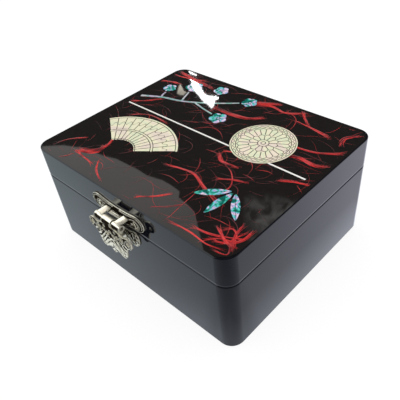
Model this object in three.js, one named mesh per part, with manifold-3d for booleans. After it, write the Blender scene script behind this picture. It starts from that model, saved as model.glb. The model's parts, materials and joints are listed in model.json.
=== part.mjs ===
// Lacquered paper jewelry box: hinged lid, pierced hasp, fitted velvet interior.
// Units are millimetres. X runs along the front, the front faces -Y, +Z is up.
// The origin is the middle of the face that the box rests on.

import * as THREE from 'three';
import { mergeVertices } from 'three/addons/utils/BufferGeometryUtils.js';
import Module from 'manifold-3d';

const wasm = await Module();
wasm.setup();

// Case
const width = 160;
const depth = 131;
const height = 70;
const rimHeight = 50;
const cornerRadius = 11;
const wall = 7;
const arris = 0.8;
const seamGap = 0.3;
const fitGap = 0.3;
const feltThickness = 0.8;
const feltInset = 3;
const bottomThickness = 4;

// Lid top: board, paper and the shell pieces let into the paper
const boardThickness = 3.4;
const paperThickness = 0.6;
const topRounding = 0.7;
const inlayGap = 0.3;

// Shell motifs, placed from the edges of the lid that they lie nearest. The horizon lies a share of the way
// from the fan's top to the branch's foot, and the medallion rises from it.
const medallionRadius = 20;
const medallionFromRight = 46;
const medallionAboveHorizon = 14;
const fanReach = 40;
const fanInner = 13;
const fanHalfAngle = 0.3 * Math.PI;
const fanFromLeft = 46;
const fanFromFront = 25.5;
const horizonShare = 0.375;
const horizonWidth = 1;
const horizonInset = 7;
const branchHalfWidth = 1;
const leafLength = 21;
const leafWidth = 5;
const leafStart = 1.8;
const sprigFromRight = 30;
const sprigFromFront = 42;

// Velvet linings
const linerThickness = 2;
const linerGap = 0.4;
const lipHeight = 5;
const lidLinerThickness = 1.5;
const lipClearance = 1;
const linerEase = 0.5;
const lidLinerEase = 0.3;

// Fitted interior
const dividerThickness = 2.4;
const dividerHeight = 36;
const longDividerY = 4;
const frontDividerX = 12;
const padEdge = 3.4;
const padCrown = 1.6;
const padCrownSteps = 5;
const padCrownReach = 0.35;
const padFootDraw = 0.6;
const padRimDraw = 0.5;
const padCorner = 3;
const padGap = 0.5;
const rollCount = 5;
const rollBedThickness = 14;
const rollBedCorner = 2;
const rollEndGap = 0.5;
const rollEndDraw = 0.6;
const rollEndFall = 0.55;
const rollSwellPower = 8;
const rollSteps = 10;
const rollSides = 16;

// Mirror in the lid
const mirrorBoardThickness = 2;
const mirrorThickness = 2;
const mirrorMargin = 12;
const mirrorFrameWidth = 4;
const mirrorFrameLip = 0.8;
const mirrorFrameEase = 0.6;
const mirrorCorner = 3;
const mirrorFrameCorner = 6;

// Hinges
const hingeFromEnd = 35;
const hingeLength = 24;
const hingeOffset = 1.9;
const knuckleRadius = 1.6;
const knuckleGap = 0.3;
const leafPlateThickness = 0.9;
const leafPlateHeight = 11;
const hingeNailFromEnd = 4;
const hingeNailFromEdge = 3.5;
const pinRadius = 0.7;
const pinClearance = 0.15;
const hingePinEnd = 0.4;

// Latch
const latchAxisProud = 7.2;
const latchAxisAboveRim = 6.4;
const latchPinRadius = 0.8;
const latchPinClearance = 0.3;
const latchPinEnd = 0.5;
const latchPlateThickness = 0.9;
const ridgeRadius = 0.45;
const beadRadius = 0.75;
const lugKnuckleRadius = 2.2;
const lugInner = 4.2;
const lugOuter = 10.8;
const lugSideGap = 0.5;
const lugStripTop = 2.4;
const lugStripThickness = 1;
const lugStripInset = 1;
const lugStripFlare = 0.3;
const shelfHalfWidth = 6.2;
const shelfProud = 3.3;
const shelfThickness = 0.7;
const shelfRidgeHalfLength = 2.4;
const lidNailX = 15.2;
const lidNailAboveRim = 7.2;
const baseNailX = 10;
const baseNailBelowRim = 7.8;
const catchGap = 0.6;
const catchHalfWidth = 3;
const catchBelowRim = [10.4, 6.6];

// Hasp
const haspKnuckleRadius = 2.8;
const haspBackProud = 7.6;
const haspThickness = 1.2;
const haspNeckDrop = 1.5;

// Fasteners
const nailHeadRadius = 1.15;
const nailHeadThickness = 0.6;
const nailShankRadius = 0.55;
const nailLength = 4;
const nailClearance = 0.15;
const nailSides = 10;
const nailPoint = 2;
const nailPointWaist = 0.6;
const nailHeadCrown = 0.8;

const front = -depth / 2;
const back = depth / 2;
const topOfBottom = feltThickness + bottomThickness;
const lidBottom = rimHeight + seamGap;
const boardBottom = height - paperThickness - boardThickness;
const boardTop = height - paperThickness;
const seamHeight = rimHeight + seamGap / 2;
const latchAxisHeight = rimHeight + latchAxisAboveRim;
const hingeX = width / 2 - hingeFromEnd;

const finishes = {
  lacquer: { color: 0x16140f, roughness: 0.12, metalness: 0 },
  paper: { color: 0x1c1718, roughness: 0.1, metalness: 0 },
  velvet: { color: 0x6d1520, roughness: 0.9, metalness: 0 },
  felt: { color: 0x1d1d1f, roughness: 0.95, metalness: 0 },
  brass: { color: 0xd8cda8, roughness: 0.35, metalness: 0.9 },
  shell: { color: 0xe8e8cf, roughness: 0.25, metalness: 0 },
  blossom: { color: 0x4fb3a5, roughness: 0.25, metalness: 0 },
  glass: { color: 0xd8dde0, roughness: 0.03, metalness: 1 },
};

const box = new THREE.Group();
box.name = 'paper_jewelry_box';

// Adds a named piece with a material of its own.
function addPiece(name, geometry, finish) {
  const mesh = new THREE.Mesh(geometry, new THREE.MeshStandardMaterial(finishes[finish]));
  mesh.name = name;
  box.add(mesh);
  return mesh;
}

// Turns a closed geometry into a solid that can be cut and joined.
function toSolid(geometry) {
  const bare = geometry.clone();
  for (const attribute of Object.keys(bare.attributes)) {
    if (attribute !== 'position') bare.deleteAttribute(attribute);
  }
  const merged = mergeVertices(bare, 1e-4);
  return new wasm.Manifold(new wasm.Mesh({
    numProp: 3,
    vertProperties: new Float32Array(merged.attributes.position.array),
    triVerts: new Uint32Array(merged.index.array),
  }));
}

// Turns a solid back into a geometry.
function toGeometry(solid) {
  const mesh = solid.getMesh();
  const geometry = new THREE.BufferGeometry();
  geometry.setAttribute('position', new THREE.BufferAttribute(new Float32Array(mesh.vertProperties), 3));
  geometry.setIndex(new THREE.BufferAttribute(new Uint32Array(mesh.triVerts), 1));
  geometry.computeVertexNormals();
  return geometry;
}

const join = (first, ...others) => (
  toGeometry(others.reduce((sum, piece) => sum.add(toSolid(piece)), toSolid(first)))
);
const cut = (first, ...tools) => (
  toGeometry(tools.reduce((rest, tool) => rest.subtract(toSolid(tool)), toSolid(first)))
);

// Counter-clockwise outline of a rounded rectangle, drawn in from the given size by inset.
function roundedOutline(sizeX, sizeY, radius, inset, arcSteps = 6) {
  const turn = Math.max(radius - inset, 0.6);
  const points = [];
  for (let corner = 0; corner < 4; corner += 1) {
    const signX = corner === 0 || corner === 3 ? 1 : -1;
    const signY = corner < 2 ? 1 : -1;
    const centreX = signX * (sizeX / 2 - inset - turn);
    const centreY = signY * (sizeY / 2 - inset - turn);
    for (let step = 0; step <= arcSteps; step += 1) {
      const angle = (corner + step / arcSteps) * Math.PI / 2;
      points.push([centreX + turn * Math.cos(angle), centreY + turn * Math.sin(angle)]);
    }
  }
  return points;
}

// Sweeps a section of [inset, z] points round a rounded rectangle. A closed section makes a
// ring; an open one makes a plate that is capped at its first and last points.
function sweepSection(sizeX, sizeY, radius, section, closed, centre = [0, 0]) {
  const positions = [];
  const indices = [];
  const rings = section.map(([inset, z]) => roundedOutline(sizeX, sizeY, radius, inset).map(([x, y]) => {
    positions.push(x + centre[0], y + centre[1], z);
    return positions.length / 3 - 1;
  }));
  const count = rings[0].length;
  const last = closed ? rings.length : rings.length - 1;
  for (let level = 0; level < last; level += 1) {
    const lower = rings[level];
    const upper = rings[(level + 1) % rings.length];
    for (let step = 0; step < count; step += 1) {
      const next = (step + 1) % count;
      indices.push(lower[step], lower[next], upper[next], lower[step], upper[next], upper[step]);
    }
  }
  if (!closed) {
    for (let step = 1; step < count - 1; step += 1) {
      indices.push(rings[0][0], rings[0][step + 1], rings[0][step]);
      const top = rings[rings.length - 1];
      indices.push(top[0], top[step], top[step + 1]);
    }
  }
  const geometry = new THREE.BufferGeometry();
  geometry.setAttribute('position', new THREE.Float32BufferAttribute(positions, 3));
  geometry.setIndex(indices);
  geometry.computeVertexNormals();
  return geometry;
}

// A plain upright ring between two insets, with its top outer and bottom outer edges eased.
function wallRing(bottom, top, outerInset, innerInset, ease) {
  return sweepSection(width, depth, cornerRadius, [
    [outerInset + ease, bottom],
    [outerInset, bottom + ease],
    [outerInset, top - ease],
    [outerInset + ease, top],
    [innerInset, top],
    [innerInset, bottom],
  ], true);
}

// A flat rounded plate of one thickness.
function plate(sizeX, sizeY, radius, bottom, top, centre = [0, 0]) {
  return sweepSection(sizeX, sizeY, radius, [[0, bottom], [0, top]], false, centre);
}

// An upright box given by its two corners.
function block(low, high) {
  const size = high.map((value, axis) => value - low[axis]);
  const geometry = new THREE.BoxGeometry(...size);
  geometry.translate(...low.map((value, axis) => value + size[axis] / 2));
  return geometry;
}

// A cylinder along X.
function barrel(radius, fromX, toX, y, z, sides = 16) {
  const geometry = new THREE.CylinderGeometry(radius, radius, toX - fromX, sides);
  geometry.rotateZ(-Math.PI / 2);
  geometry.translate((fromX + toX) / 2, y, z);
  return geometry;
}

// Extrudes a shape drawn in X and Z away from the front, starting at the given y.
function frontPlate(shape, thickness, startY, curveSegments = 6) {
  const geometry = new THREE.ExtrudeGeometry(shape, { depth: thickness, bevelEnabled: false, curveSegments });
  geometry.applyMatrix4(new THREE.Matrix4().set(1, 0, 0, 0, 0, 0, -1, startY, 0, 1, 0, 0, 0, 0, 0, 1));
  return geometry;
}

// Extrudes a shape drawn in X and Y upwards.
function topPlate(shape, bottom, top, curveSegments = 6) {
  const depthUp = top - bottom;
  const geometry = new THREE.ExtrudeGeometry(shape, { depth: depthUp, bevelEnabled: false, curveSegments });
  geometry.translate(0, 0, bottom);
  return geometry;
}

// A rounded closed shape that is the same on both sides of x = 0. Its right half is listed
// downwards as distances from the middle and heights above the rim of the base.
function mirroredShape(half, samplesPerPoint = 2) {
  const place = (side) => ([x, above]) => new THREE.Vector3(side * x, rimHeight + above, 0);
  const left = half.filter(([x]) => x > 0).reverse().map(place(-1));
  const outline = [...half.map(place(1)), ...left].reverse();
  const curve = new THREE.CatmullRomCurve3(outline, true, 'centripetal');
  const points = [];
  const count = outline.length * samplesPerPoint;
  for (let step = 0; step < count; step += 1) {
    const point = curve.getPoint(step / count);
    points.push(new THREE.Vector2(point.x, point.y));
  }
  return new THREE.Shape(points);
}

function circleHole(x, y, radius) {
  const path = new THREE.Path();
  path.absarc(x, y, radius, 0, Math.PI * 2, true);
  return path;
}

// Every nail is noted here, so that the walls get their pilot holes.
const nails = [];

// A round-headed nail through a plate on the front (direction -1) or the back (direction 1).
function addNail(name, body, x, z, plateThickness, direction) {
  const under = plateThickness + nailClearance;
  const profile = [
    [0, -nailLength], [nailShankRadius * nailPointWaist, -nailLength + nailPoint / 2],
    [nailShankRadius, -nailLength + nailPoint],
    [nailShankRadius, under], [nailHeadRadius, under],
    [nailHeadRadius * nailHeadCrown, under + nailHeadThickness * nailHeadCrown],
    [0, under + nailHeadThickness],
  ].map(([radius, along]) => new THREE.Vector2(radius, along));
  const geometry = new THREE.LatheGeometry(profile, nailSides);
  if (direction < 0) geometry.rotateZ(Math.PI);
  geometry.translate(x, direction < 0 ? front : back, z);
  addPiece(name, geometry, 'brass');
  nails.push({ body, x, z, direction });
}

// The hole that a nail's shank goes through, in a plate and in the wall behind it.
function nailBore({ x, z, direction }) {
  const radius = nailShankRadius + nailClearance;
  const geometry = new THREE.CylinderGeometry(radius, radius, 2 * (nailLength + fitGap), nailSides);
  geometry.translate(x, direction < 0 ? front : back, z);
  return geometry;
}

// Base: walls, bottom and felt
function addBaseCase() {
  const pilots = nails.filter(({ body }) => body === 'base').map(nailBore);
  addPiece('base_walls', cut(wallRing(feltThickness, rimHeight, 0, wall, arris), ...pilots), 'lacquer');
  const innerX = width - 2 * (wall + fitGap);
  const innerY = depth - 2 * (wall + fitGap);
  addPiece('bottom_panel', plate(innerX, innerY, cornerRadius - wall, feltThickness, topOfBottom), 'lacquer');
  const feltX = width - 2 * feltInset;
  const feltY = depth - 2 * feltInset;
  addPiece('base_felt', plate(feltX, feltY, cornerRadius - feltInset, 0, feltThickness), 'felt');
  const outer = wall + linerGap;
  const lipTop = rimHeight + lipHeight;
  addPiece('base_liner', wallRing(topOfBottom, lipTop, outer, outer + linerThickness, linerEase), 'velvet');
}

// Half sizes of the space inside the base liner
const roomX = width / 2 - wall - linerGap - linerThickness;
const roomY = depth / 2 - wall - linerGap - linerThickness;

// Dividers stand on the bottom and part the room into four wells and a bed for rings.
function addDividers() {
  const top = topOfBottom + dividerHeight;
  const half = dividerThickness / 2;
  addPiece('divider_long', block(
    [-roomX + fitGap, longDividerY - half, topOfBottom],
    [roomX - fitGap, longDividerY + half, top],
  ), 'velvet');
  const backLow = longDividerY + half + fitGap;
  for (const [name, x] of [['divider_back_left', -roomX / 3], ['divider_back_right', roomX / 3]]) {
    addPiece(name, block([x - half, backLow, topOfBottom], [x + half, roomY - fitGap, top]), 'velvet');
  }
  addPiece('divider_front', block(
    [frontDividerX - half, -roomY + fitGap, topOfBottom],
    [frontDividerX + half, longDividerY - half - fitGap, top],
  ), 'velvet');
}

// A pad with drawn-in sides and a crown, fitted between two corners.
function crownedPad(low, high) {
  const sizeX = high[0] - low[0];
  const sizeY = high[1] - low[1];
  const centre = [(low[0] + high[0]) / 2, (low[1] + high[1]) / 2];
  const section = [
    [padFootDraw, topOfBottom], [0, topOfBottom + padEdge / 2], [padRimDraw, topOfBottom + padEdge],
  ];
  const reach = Math.min(sizeX, sizeY) * padCrownReach;
  for (let step = 1; step <= padCrownSteps; step += 1) {
    const share = step / padCrownSteps;
    const rise = padCrown * Math.sin(share * Math.PI / 2);
    section.push([padRimDraw + share * reach, topOfBottom + padEdge + rise]);
  }
  return sweepSection(sizeX, sizeY, padCorner, section, false, centre);
}

function addPads() {
  const half = dividerThickness / 2;
  const backLow = longDividerY + half + padGap;
  const edges = [-roomX, -roomX / 3, roomX / 3, roomX];
  ['pad_back_left', 'pad_back_middle', 'pad_back_right'].forEach((name, index) => {
    const leftGap = index === 0 ? padGap : half + padGap;
    const rightGap = index === 2 ? padGap : half + padGap;
    const low = [edges[index] + leftGap, backLow];
    const high = [edges[index + 1] - rightGap, roomY - padGap];
    addPiece(name, crownedPad(low, high), 'velvet');
  });
  addPiece('pad_front_right', crownedPad(
    [frontDividerX + half + padGap, -roomY + padGap],
    [roomX - padGap, longDividerY - half - padGap],
  ), 'velvet');
}

// Ring rolls lie side by side on their bed and swell towards their middles.
function addRingRolls() {
  const half = dividerThickness / 2;
  const low = [-roomX + padGap, -roomY + padGap];
  const high = [frontDividerX - half - padGap, longDividerY - half - padGap];
  const bedTop = topOfBottom + rollBedThickness;
  const middle = [(low[0] + high[0]) / 2, (low[1] + high[1]) / 2];
  const bed = plate(high[0] - low[0], high[1] - low[1], rollBedCorner, topOfBottom, bedTop, middle);
  addPiece('ring_bed', bed, 'velvet');
  const pitch = (high[1] - low[1]) / rollCount;
  const radius = pitch / 2 - fitGap / 2;
  const length = high[0] - low[0] - 2 * rollEndGap;
  for (let index = 0; index < rollCount; index += 1) {
    const profile = [new THREE.Vector2(0, -length / 2)];
    for (let step = 0; step <= rollSteps; step += 1) {
      const share = 2 * step / rollSteps - 1;
      const swell = Math.sqrt(1 - rollEndFall * Math.pow(Math.abs(share), rollSwellPower));
      profile.push(new THREE.Vector2(radius * swell, share * (length / 2 - rollEndDraw)));
    }
    profile.push(new THREE.Vector2(0, length / 2));
    const geometry = new THREE.LatheGeometry(profile, rollSides);
    geometry.rotateZ(-Math.PI / 2);
    geometry.translate(middle[0], low[1] + pitch * (index + 0.5), bedTop + radius + fitGap / 2);
    addPiece(`ring_roll_${index + 1}`, geometry, 'velvet');
  }
}

// Lid: walls, board, lining and mirror
function addLidCase() {
  const pilots = nails.filter(({ body }) => body === 'lid').map(nailBore);
  addPiece('lid_walls', cut(sweepSection(width, depth, cornerRadius, [
    [arris, lidBottom], [0, lidBottom + arris], [0, boardBottom], [wall, boardBottom], [wall, lidBottom],
  ], true), ...pilots), 'lacquer');
  const rounding = [0, 1, 2, 3].map((step) => {
    const angle = (step / 3) * Math.PI / 2;
    return [topRounding * (1 - Math.cos(angle)), boardTop - topRounding * (1 - Math.sin(angle))];
  });
  const boardSection = [[0, boardBottom], ...rounding];
  addPiece('lid_board', sweepSection(width, depth, cornerRadius, boardSection, false), 'lacquer');
  const outer = wall + linerGap;
  const linerBottom = rimHeight + lipHeight + lipClearance;
  const inner = outer + lidLinerThickness;
  addPiece('lid_liner', wallRing(linerBottom, boardBottom, outer, inner, lidLinerEase), 'velvet');
  const mirrorX = width - 2 * (wall + mirrorMargin);
  const mirrorY = depth - 2 * (wall + mirrorMargin);
  const mirrorBack = boardBottom - mirrorBoardThickness;
  const mirrorFace = mirrorBack - mirrorThickness;
  const frameX = mirrorX + 2 * mirrorFrameWidth;
  const frameY = mirrorY + 2 * mirrorFrameWidth;
  addPiece('mirror_board', plate(frameX, frameY, mirrorFrameCorner, mirrorBack, boardBottom), 'velvet');
  addPiece('mirror_glass', plate(mirrorX, mirrorY, mirrorCorner, mirrorFace, mirrorBack), 'glass');
  const frameBottom = mirrorFace - mirrorFrameLip;
  const frameInset = mirrorFrameWidth - fitGap;
  addPiece('mirror_frame', sweepSection(frameX, frameY, mirrorFrameCorner, [
    [frameInset, mirrorBack], [frameInset, frameBottom],
    [mirrorFrameEase, frameBottom], [0, frameBottom + mirrorFrameEase], [0, mirrorBack],
  ], true), 'brass');
}

// Outlines of the shell pieces, drawn in X and Y and grown by margin for their pockets
const fromLeft = (distance) => distance - width / 2;
const fromRight = (distance) => width / 2 - distance;
const fromFront = (distance) => distance - depth / 2;
const fromBack = (distance) => depth / 2 - distance;

// The plum branch and its twigs, as points in from the left and back edges
const branchRoutes = [
  [[7, 48.5], [22, 41.5], [38, 37.5], [56, 28.5], [72, 17.5]],
  [[21, 42], [19, 38], [18.4, 35]],
  [[37, 38], [34.4, 31], [32.4, 25.7]],
  [[55, 29], [53, 23.5], [52, 18.8]],
  [[46, 34], [56, 36.5], [66, 38.5]],
];

const fanPivot = [fromLeft(fanFromLeft), fromFront(fanFromFront)];
const fanTop = fanPivot[1] + fanReach;
const branchFoot = fromBack(branchRoutes[0][0][1]) - branchHalfWidth;
const horizonY = fanTop + (branchFoot - fanTop) * horizonShare;
const medallionCentre = [fromRight(medallionFromRight), horizonY + medallionAboveHorizon];
const medallionSegments = 24;

function medallionShape(margin) {
  const shape = new THREE.Shape();
  shape.absarc(...medallionCentre, medallionRadius + margin, 0, Math.PI * 2, false);
  return shape;
}

function fanShape(margin) {
  const low = Math.PI / 2 - fanHalfAngle - margin / fanInner;
  const high = Math.PI / 2 + fanHalfAngle + margin / fanInner;
  const shape = new THREE.Shape();
  shape.absarc(...fanPivot, fanReach + margin, low, high, false);
  shape.absarc(...fanPivot, fanInner - margin, high, low, true);
  shape.closePath();
  return shape;
}

// The thin line of the horizon passes behind the round medallion, so it comes in two stretches.
function horizonSolid(side) {
  const half = horizonWidth / 2;
  const [low, high] = side === 'left'
    ? [fromLeft(horizonInset), medallionCentre[0] - inlayGap]
    : [medallionCentre[0] + inlayGap, fromRight(horizonInset)];
  return (bottom, top, margin) => cut(
    block([low - margin, horizonY - half - margin, bottom], [high + margin, horizonY + half + margin, top]),
    topPlate(medallionShape(inlayGap - margin), bottom - 1, top + 1, medallionSegments),
  );
}

// A tapering stroke along a route of points.
function strokeShape(route, startHalf, endHalf, margin) {
  const curve = new THREE.SplineCurve(route.map(([x, y]) => new THREE.Vector2(fromLeft(x), fromBack(y))));
  const steps = 4 * (route.length - 1);
  const sides = [[], []];
  for (let step = 0; step <= steps; step += 1) {
    const share = step / steps;
    const point = curve.getPoint(share);
    const along = curve.getTangent(share);
    const half = startHalf + (endHalf - startHalf) * share + margin;
    const push = step === 0 ? -margin : step === steps ? margin : 0;
    const base = point.clone().addScaledVector(along, push);
    const across = new THREE.Vector2(-along.y, along.x).multiplyScalar(half);
    sides[0].push(base.clone().sub(across));
    sides[1].unshift(base.clone().add(across));
  }
  return new THREE.Shape([...sides[0], ...sides[1]]);
}

function branchSolid(bottom, top, margin) {
  const strokes = branchRoutes.map((route, index) => {
    const thick = index === 0 ? branchHalfWidth : branchHalfWidth * 0.6;
    return topPlate(strokeShape(route, thick, branchHalfWidth * 0.45, margin), bottom, top);
  });
  return join(...strokes);
}

// Blossoms at the ends of the twigs: distance from the left and back edges, and radius
const blossomPlaces = [[16.5, 29, 5], [30.5, 18, 6.5], [50.5, 11.5, 5.5], [77.1, 13.1, 5.5], [73, 40, 6]];

function blossomShape([x, y, radius], margin) {
  const centre = [fromLeft(x), fromBack(y)];
  const points = [];
  const steps = 40;
  for (let step = 0; step < steps; step += 1) {
    const angle = (step / steps) * Math.PI * 2;
    const reach = radius * (0.78 + 0.22 * Math.abs(Math.cos(2.5 * angle))) + margin;
    points.push(new THREE.Vector2(centre[0] + reach * Math.cos(angle), centre[1] + reach * Math.sin(angle)));
  }
  return new THREE.Shape(points);
}

// Bamboo leaves fan out from one point, each turned by its own angle.
const leafAngles = [-0.28 * Math.PI, -0.53 * Math.PI, -0.78 * Math.PI];

function leafShape(angle, margin) {
  const away = leafStart + leafLength / 2;
  const centre = [
    fromRight(sprigFromRight) + away * Math.cos(angle),
    fromFront(sprigFromFront) + away * Math.sin(angle),
  ];
  const steps = 10;
  const points = [];
  for (let step = 0; step < steps * 2; step += 1) {
    const share = step / steps;
    const along = step <= steps ? share * 2 - 1 : 3 - share * 2;
    const side = step <= steps ? -1 : 1;
    const isTip = Math.abs(along) > 0.999;
    const across = side * (0.5 * leafWidth * (1 - along * along) + (isTip ? 0 : margin));
    const reach = along * (leafLength / 2 + margin);
    points.push(new THREE.Vector2(
      centre[0] + reach * Math.cos(angle) - across * Math.sin(angle),
      centre[1] + reach * Math.sin(angle) + across * Math.cos(angle),
    ));
  }
  return new THREE.Shape(points);
}

// Paper sheet with its pockets, and the shell pieces that fill them flush
function addTopDecoration() {
  const fromShape = (shape, segments) => (bottom, top, margin) => (
    topPlate(shape(margin), bottom, top, segments)
  );
  const pieces = [
    ['inlay_medallion', fromShape(medallionShape, medallionSegments), 'shell'],
    ['inlay_fan', fromShape(fanShape, 12), 'shell'],
    ['inlay_horizon_left', horizonSolid('left'), 'shell'],
    ['inlay_horizon_right', horizonSolid('right'), 'shell'],
    ['inlay_branch', branchSolid, 'shell'],
    ...blossomPlaces.map((place, index) => [
      `inlay_blossom_${index + 1}`, fromShape((margin) => blossomShape(place, margin)), 'blossom',
    ]),
    ...leafAngles.map((angle, index) => [
      `inlay_leaf_${index + 1}`, fromShape((margin) => leafShape(angle, margin)), 'blossom',
    ]),
  ];
  const sheetX = width - 2 * topRounding;
  const sheetY = depth - 2 * topRounding;
  const sheet = plate(sheetX, sheetY, cornerRadius - topRounding, boardTop, height);
  const pockets = pieces.map(([, make]) => make(boardTop - 1, height + 1, inlayGap));
  addPiece('paper_sheet', cut(sheet, ...pockets), 'paper');
  for (const [name, make, finish] of pieces) addPiece(name, make(boardTop, height, 0), finish);
}

// Hinges: the base leaf carries two knuckles, the lid leaf the one between them.
function addHinge(side, centreX) {
  const axisY = back + hingeOffset;
  const third = hingeLength / 3;
  const half = hingeLength / 2;
  const leafOut = back + leafPlateThickness;
  const ends = [centreX - half, centreX + half];
  const bore = barrel(pinRadius + pinClearance, ends[0] - 1, ends[1] + 1, axisY, seamHeight);
  const clearOfKnuckle = knuckleRadius + fitGap;
  // Up is 1 for the lid's leaf and -1 for the base's.
  const leaf = (up, spans) => {
    const upright = (...along) => along.map((distance) => seamHeight + up * distance).sort((a, b) => a - b);
    const heights = upright(clearOfKnuckle, leafPlateHeight);
    const web = upright(0, clearOfKnuckle + fitGap);
    return join(
      block([ends[0], back, heights[0]], [ends[1], leafOut, heights[1]]),
      ...spans.map(([from, to]) => barrel(knuckleRadius, from, to, axisY, seamHeight)),
      ...spans.map(([from, to]) => block([from, back + fitGap, web[0]], [to, leafOut, web[1]])),
    );
  };
  const spans = {
    base: [[ends[0], centreX - third / 2 - knuckleGap], [centreX + third / 2 + knuckleGap, ends[1]]],
    lid: [[centreX - third / 2, centreX + third / 2]],
  };
  for (const [body, up] of [['base', -1], ['lid', 1]]) {
    const z = seamHeight + up * (leafPlateHeight - hingeNailFromEdge);
    const nailXs = [ends[0] + hingeNailFromEnd, ends[1] - hingeNailFromEnd];
    const places = nailXs.map((x) => ({ x, z, direction: 1 }));
    const bored = cut(leaf(up, spans[body]), bore, ...places.map(nailBore));
    addPiece(`hinge_${body}_leaf_${side}`, bored, 'brass');
    places.forEach(({ x }, index) => {
      addNail(`hinge_${body}_nail_${side}_${index + 1}`, body, x, z, leafPlateThickness, 1);
    });
  }
  const pin = barrel(pinRadius, ends[0] - hingePinEnd, ends[1] + hingePinEnd, axisY, seamHeight, 12);
  addPiece(`hinge_pin_${side}`, pin, 'brass');
}

// The latch's outlines, holes and scrolls are given for its right side only, each point as its
// distance from the middle and its height above the rim of the base. Outlines run downwards.
const haspHalf = [
  [0, 3.5], [3.8, 3.5], [7, 3.1], [9.6, 2], [11.4, 1.3], [13, 2.2], [15, 2.6], [17.2, 1.8], [18.7, 0],
  [18.8, -2], [17.6, -4], [15, -5], [13.4, -6.8], [12.4, -9.2], [11.8, -11.8], [11.2, -14.2], [9.6, -16],
  [7.4, -16.2], [5.4, -14.9], [3.4, -14.5], [1.8, -15.8], [0, -17],
];
const haspHoles = [
  [0, -0.8, 1.1], [2.6, -2.9, 1.3], [4.6, 1.3, 0.8], [6.2, -1.8, 1.1], [10, -1.3, 1], [15.7, -1.4, 1.2],
];
const haspScrolls = [
  [[7.4, -4.4], [10.4, -4.3], [12.4, -3.2], [13.4, -0.6], [15.4, 1.3], [17.6, 0.2], [17.9, -2.2], [16, -4]],
  [[8.8, 1.8], [11.4, -0.1], [11.9, -2], [9.8, -3.1], [8.2, -1.8], [8.9, -0.1], [10.2, 0.3]],
  [[1.4, -5.8], [4.6, -5.2], [7.4, -6.6], [9.2, -9.6], [9.8, -12.6], [9, -15]],
  [[0.8, -9.2], [2.9, -9.2], [4.9, -11], [6.2, -13.6]],
];

// The plate on the lid
const lidPlateHalf = [
  [0, 12], [6, 12.2], [12, 12.9], [17, 13.6], [20.6, 12.2], [22.3, 9.4], [21.5, 6.2], [19.4, 4.3],
  [16.4, 3.3], [13, 3.6], [10.4, 4.4], [8, 3.5], [0, 3.5],
];
const lidPlateScrolls = [
  [[3, 11], [8, 11.2], [12.4, 11.9], [16.8, 12.5], [19.8, 11.2], [21.1, 9], [20.5, 6.8]],
  [[10.6, 8.9], [13.4, 10.1], [17, 9.6], [18.4, 7.2], [17.2, 5], [14.6, 4.6]],
];
const lidPlateBeads = [[12, 6.3]];

// The plate on the base
const basePlateHalf = [
  [0, -1.4], [4, -1.8], [8, -1.4], [11, -0.6], [13.4, -1], [14.6, -3.2], [14.8, -6.4], [13.8, -9.2],
  [11.6, -11.3], [8.8, -12.2], [6, -11.4], [3.4, -10.8], [0, -12],
];
const basePlateScrolls = [
  [[7.4, -4.6], [5.6, -6.4], [6, -9.2], [8.6, -11], [11.6, -9.8], [13.4, -7], [12.6, -4.6], [10.4, -4.9]],
];
const basePlateBeads = [[10.2, -2.4], [12.7, -2.1]];

// A raised ridge along a route on a face at the given y, and its mirror image
function ridgePair(route, y) {
  return [-1, 1].map((side) => {
    const points = route.map(([x, above]) => new THREE.Vector3(side * x, y, rimHeight + above));
    const section = new THREE.Shape();
    section.absarc(0, 0, ridgeRadius, 0, Math.PI * 2, false);
    return new THREE.ExtrudeGeometry(section, {
      steps: points.length * 2,
      extrudePath: new THREE.CatmullRomCurve3(points),
      curveSegments: 3,
    });
  });
}

// A raised bead on a face at the given y, and its mirror image
function beadPair([x, above], y) {
  return [-1, 1].map((side) => {
    const geometry = new THREE.SphereGeometry(beadRadius, 8, 6);
    geometry.translate(side * x, y, rimHeight + above);
    return geometry;
  });
}

// The sheet of a latch plate with its scrolls and beads, and where its two nails go
function latchSheet(half, scrolls, beads, nailX, nailZ) {
  const face = front - latchPlateThickness;
  return {
    solids: [
      frontPlate(mirroredShape(half), latchPlateThickness, front),
      ...scrolls.flatMap((route) => ridgePair(route, face)),
      ...beads.flatMap((bead) => beadPair(bead, face)),
    ],
    bores: [-1, 1].map((side) => nailBore({ x: side * nailX, z: nailZ, direction: -1 })),
  };
}

// Lid plate: on each side a flat strip runs out to the knuckle that holds the pin.
function latchLidPlate(axisY, pinBore) {
  const lugs = [-1, 1].flatMap((side) => {
    const reach = [side * lugInner, side * lugOuter].sort((low, high) => low - high);
    const fore = [lugInner + lugStripInset, lugOuter - lugStripInset];
    const strip = new THREE.Shape([
      new THREE.Vector2(side * (fore[0] + lugStripFlare), front - latchPlateThickness / 2),
      new THREE.Vector2(side * (fore[1] - lugStripFlare), front - latchPlateThickness / 2),
      new THREE.Vector2(side * fore[1], axisY),
      new THREE.Vector2(side * fore[0], axisY),
    ]);
    const stripTop = latchAxisHeight + lugStripTop;
    return [
      barrel(lugKnuckleRadius, ...reach, axisY, latchAxisHeight, 20),
      topPlate(strip, stripTop - lugStripThickness, stripTop),
    ];
  });
  const shelfBottom = latchAxisHeight + lugStripTop - lugStripThickness - fitGap - shelfThickness;
  const shelfTop = shelfBottom + shelfThickness;
  const shelf = block(
    [-shelfHalfWidth, front - shelfProud, shelfBottom],
    [shelfHalfWidth, front - latchPlateThickness / 2, shelfTop],
  );
  const shelfRidge = barrel(
    ridgeRadius, -shelfRidgeHalfLength, shelfRidgeHalfLength, front - shelfProud * 0.6, shelfTop, 8,
  );
  const nailZ = rimHeight + lidNailAboveRim;
  const { solids, bores } = latchSheet(lidPlateHalf, lidPlateScrolls, lidPlateBeads, lidNailX, nailZ);
  return cut(join(...solids, ...lugs, shelf, shelfRidge), pinBore, ...bores);
}

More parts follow.
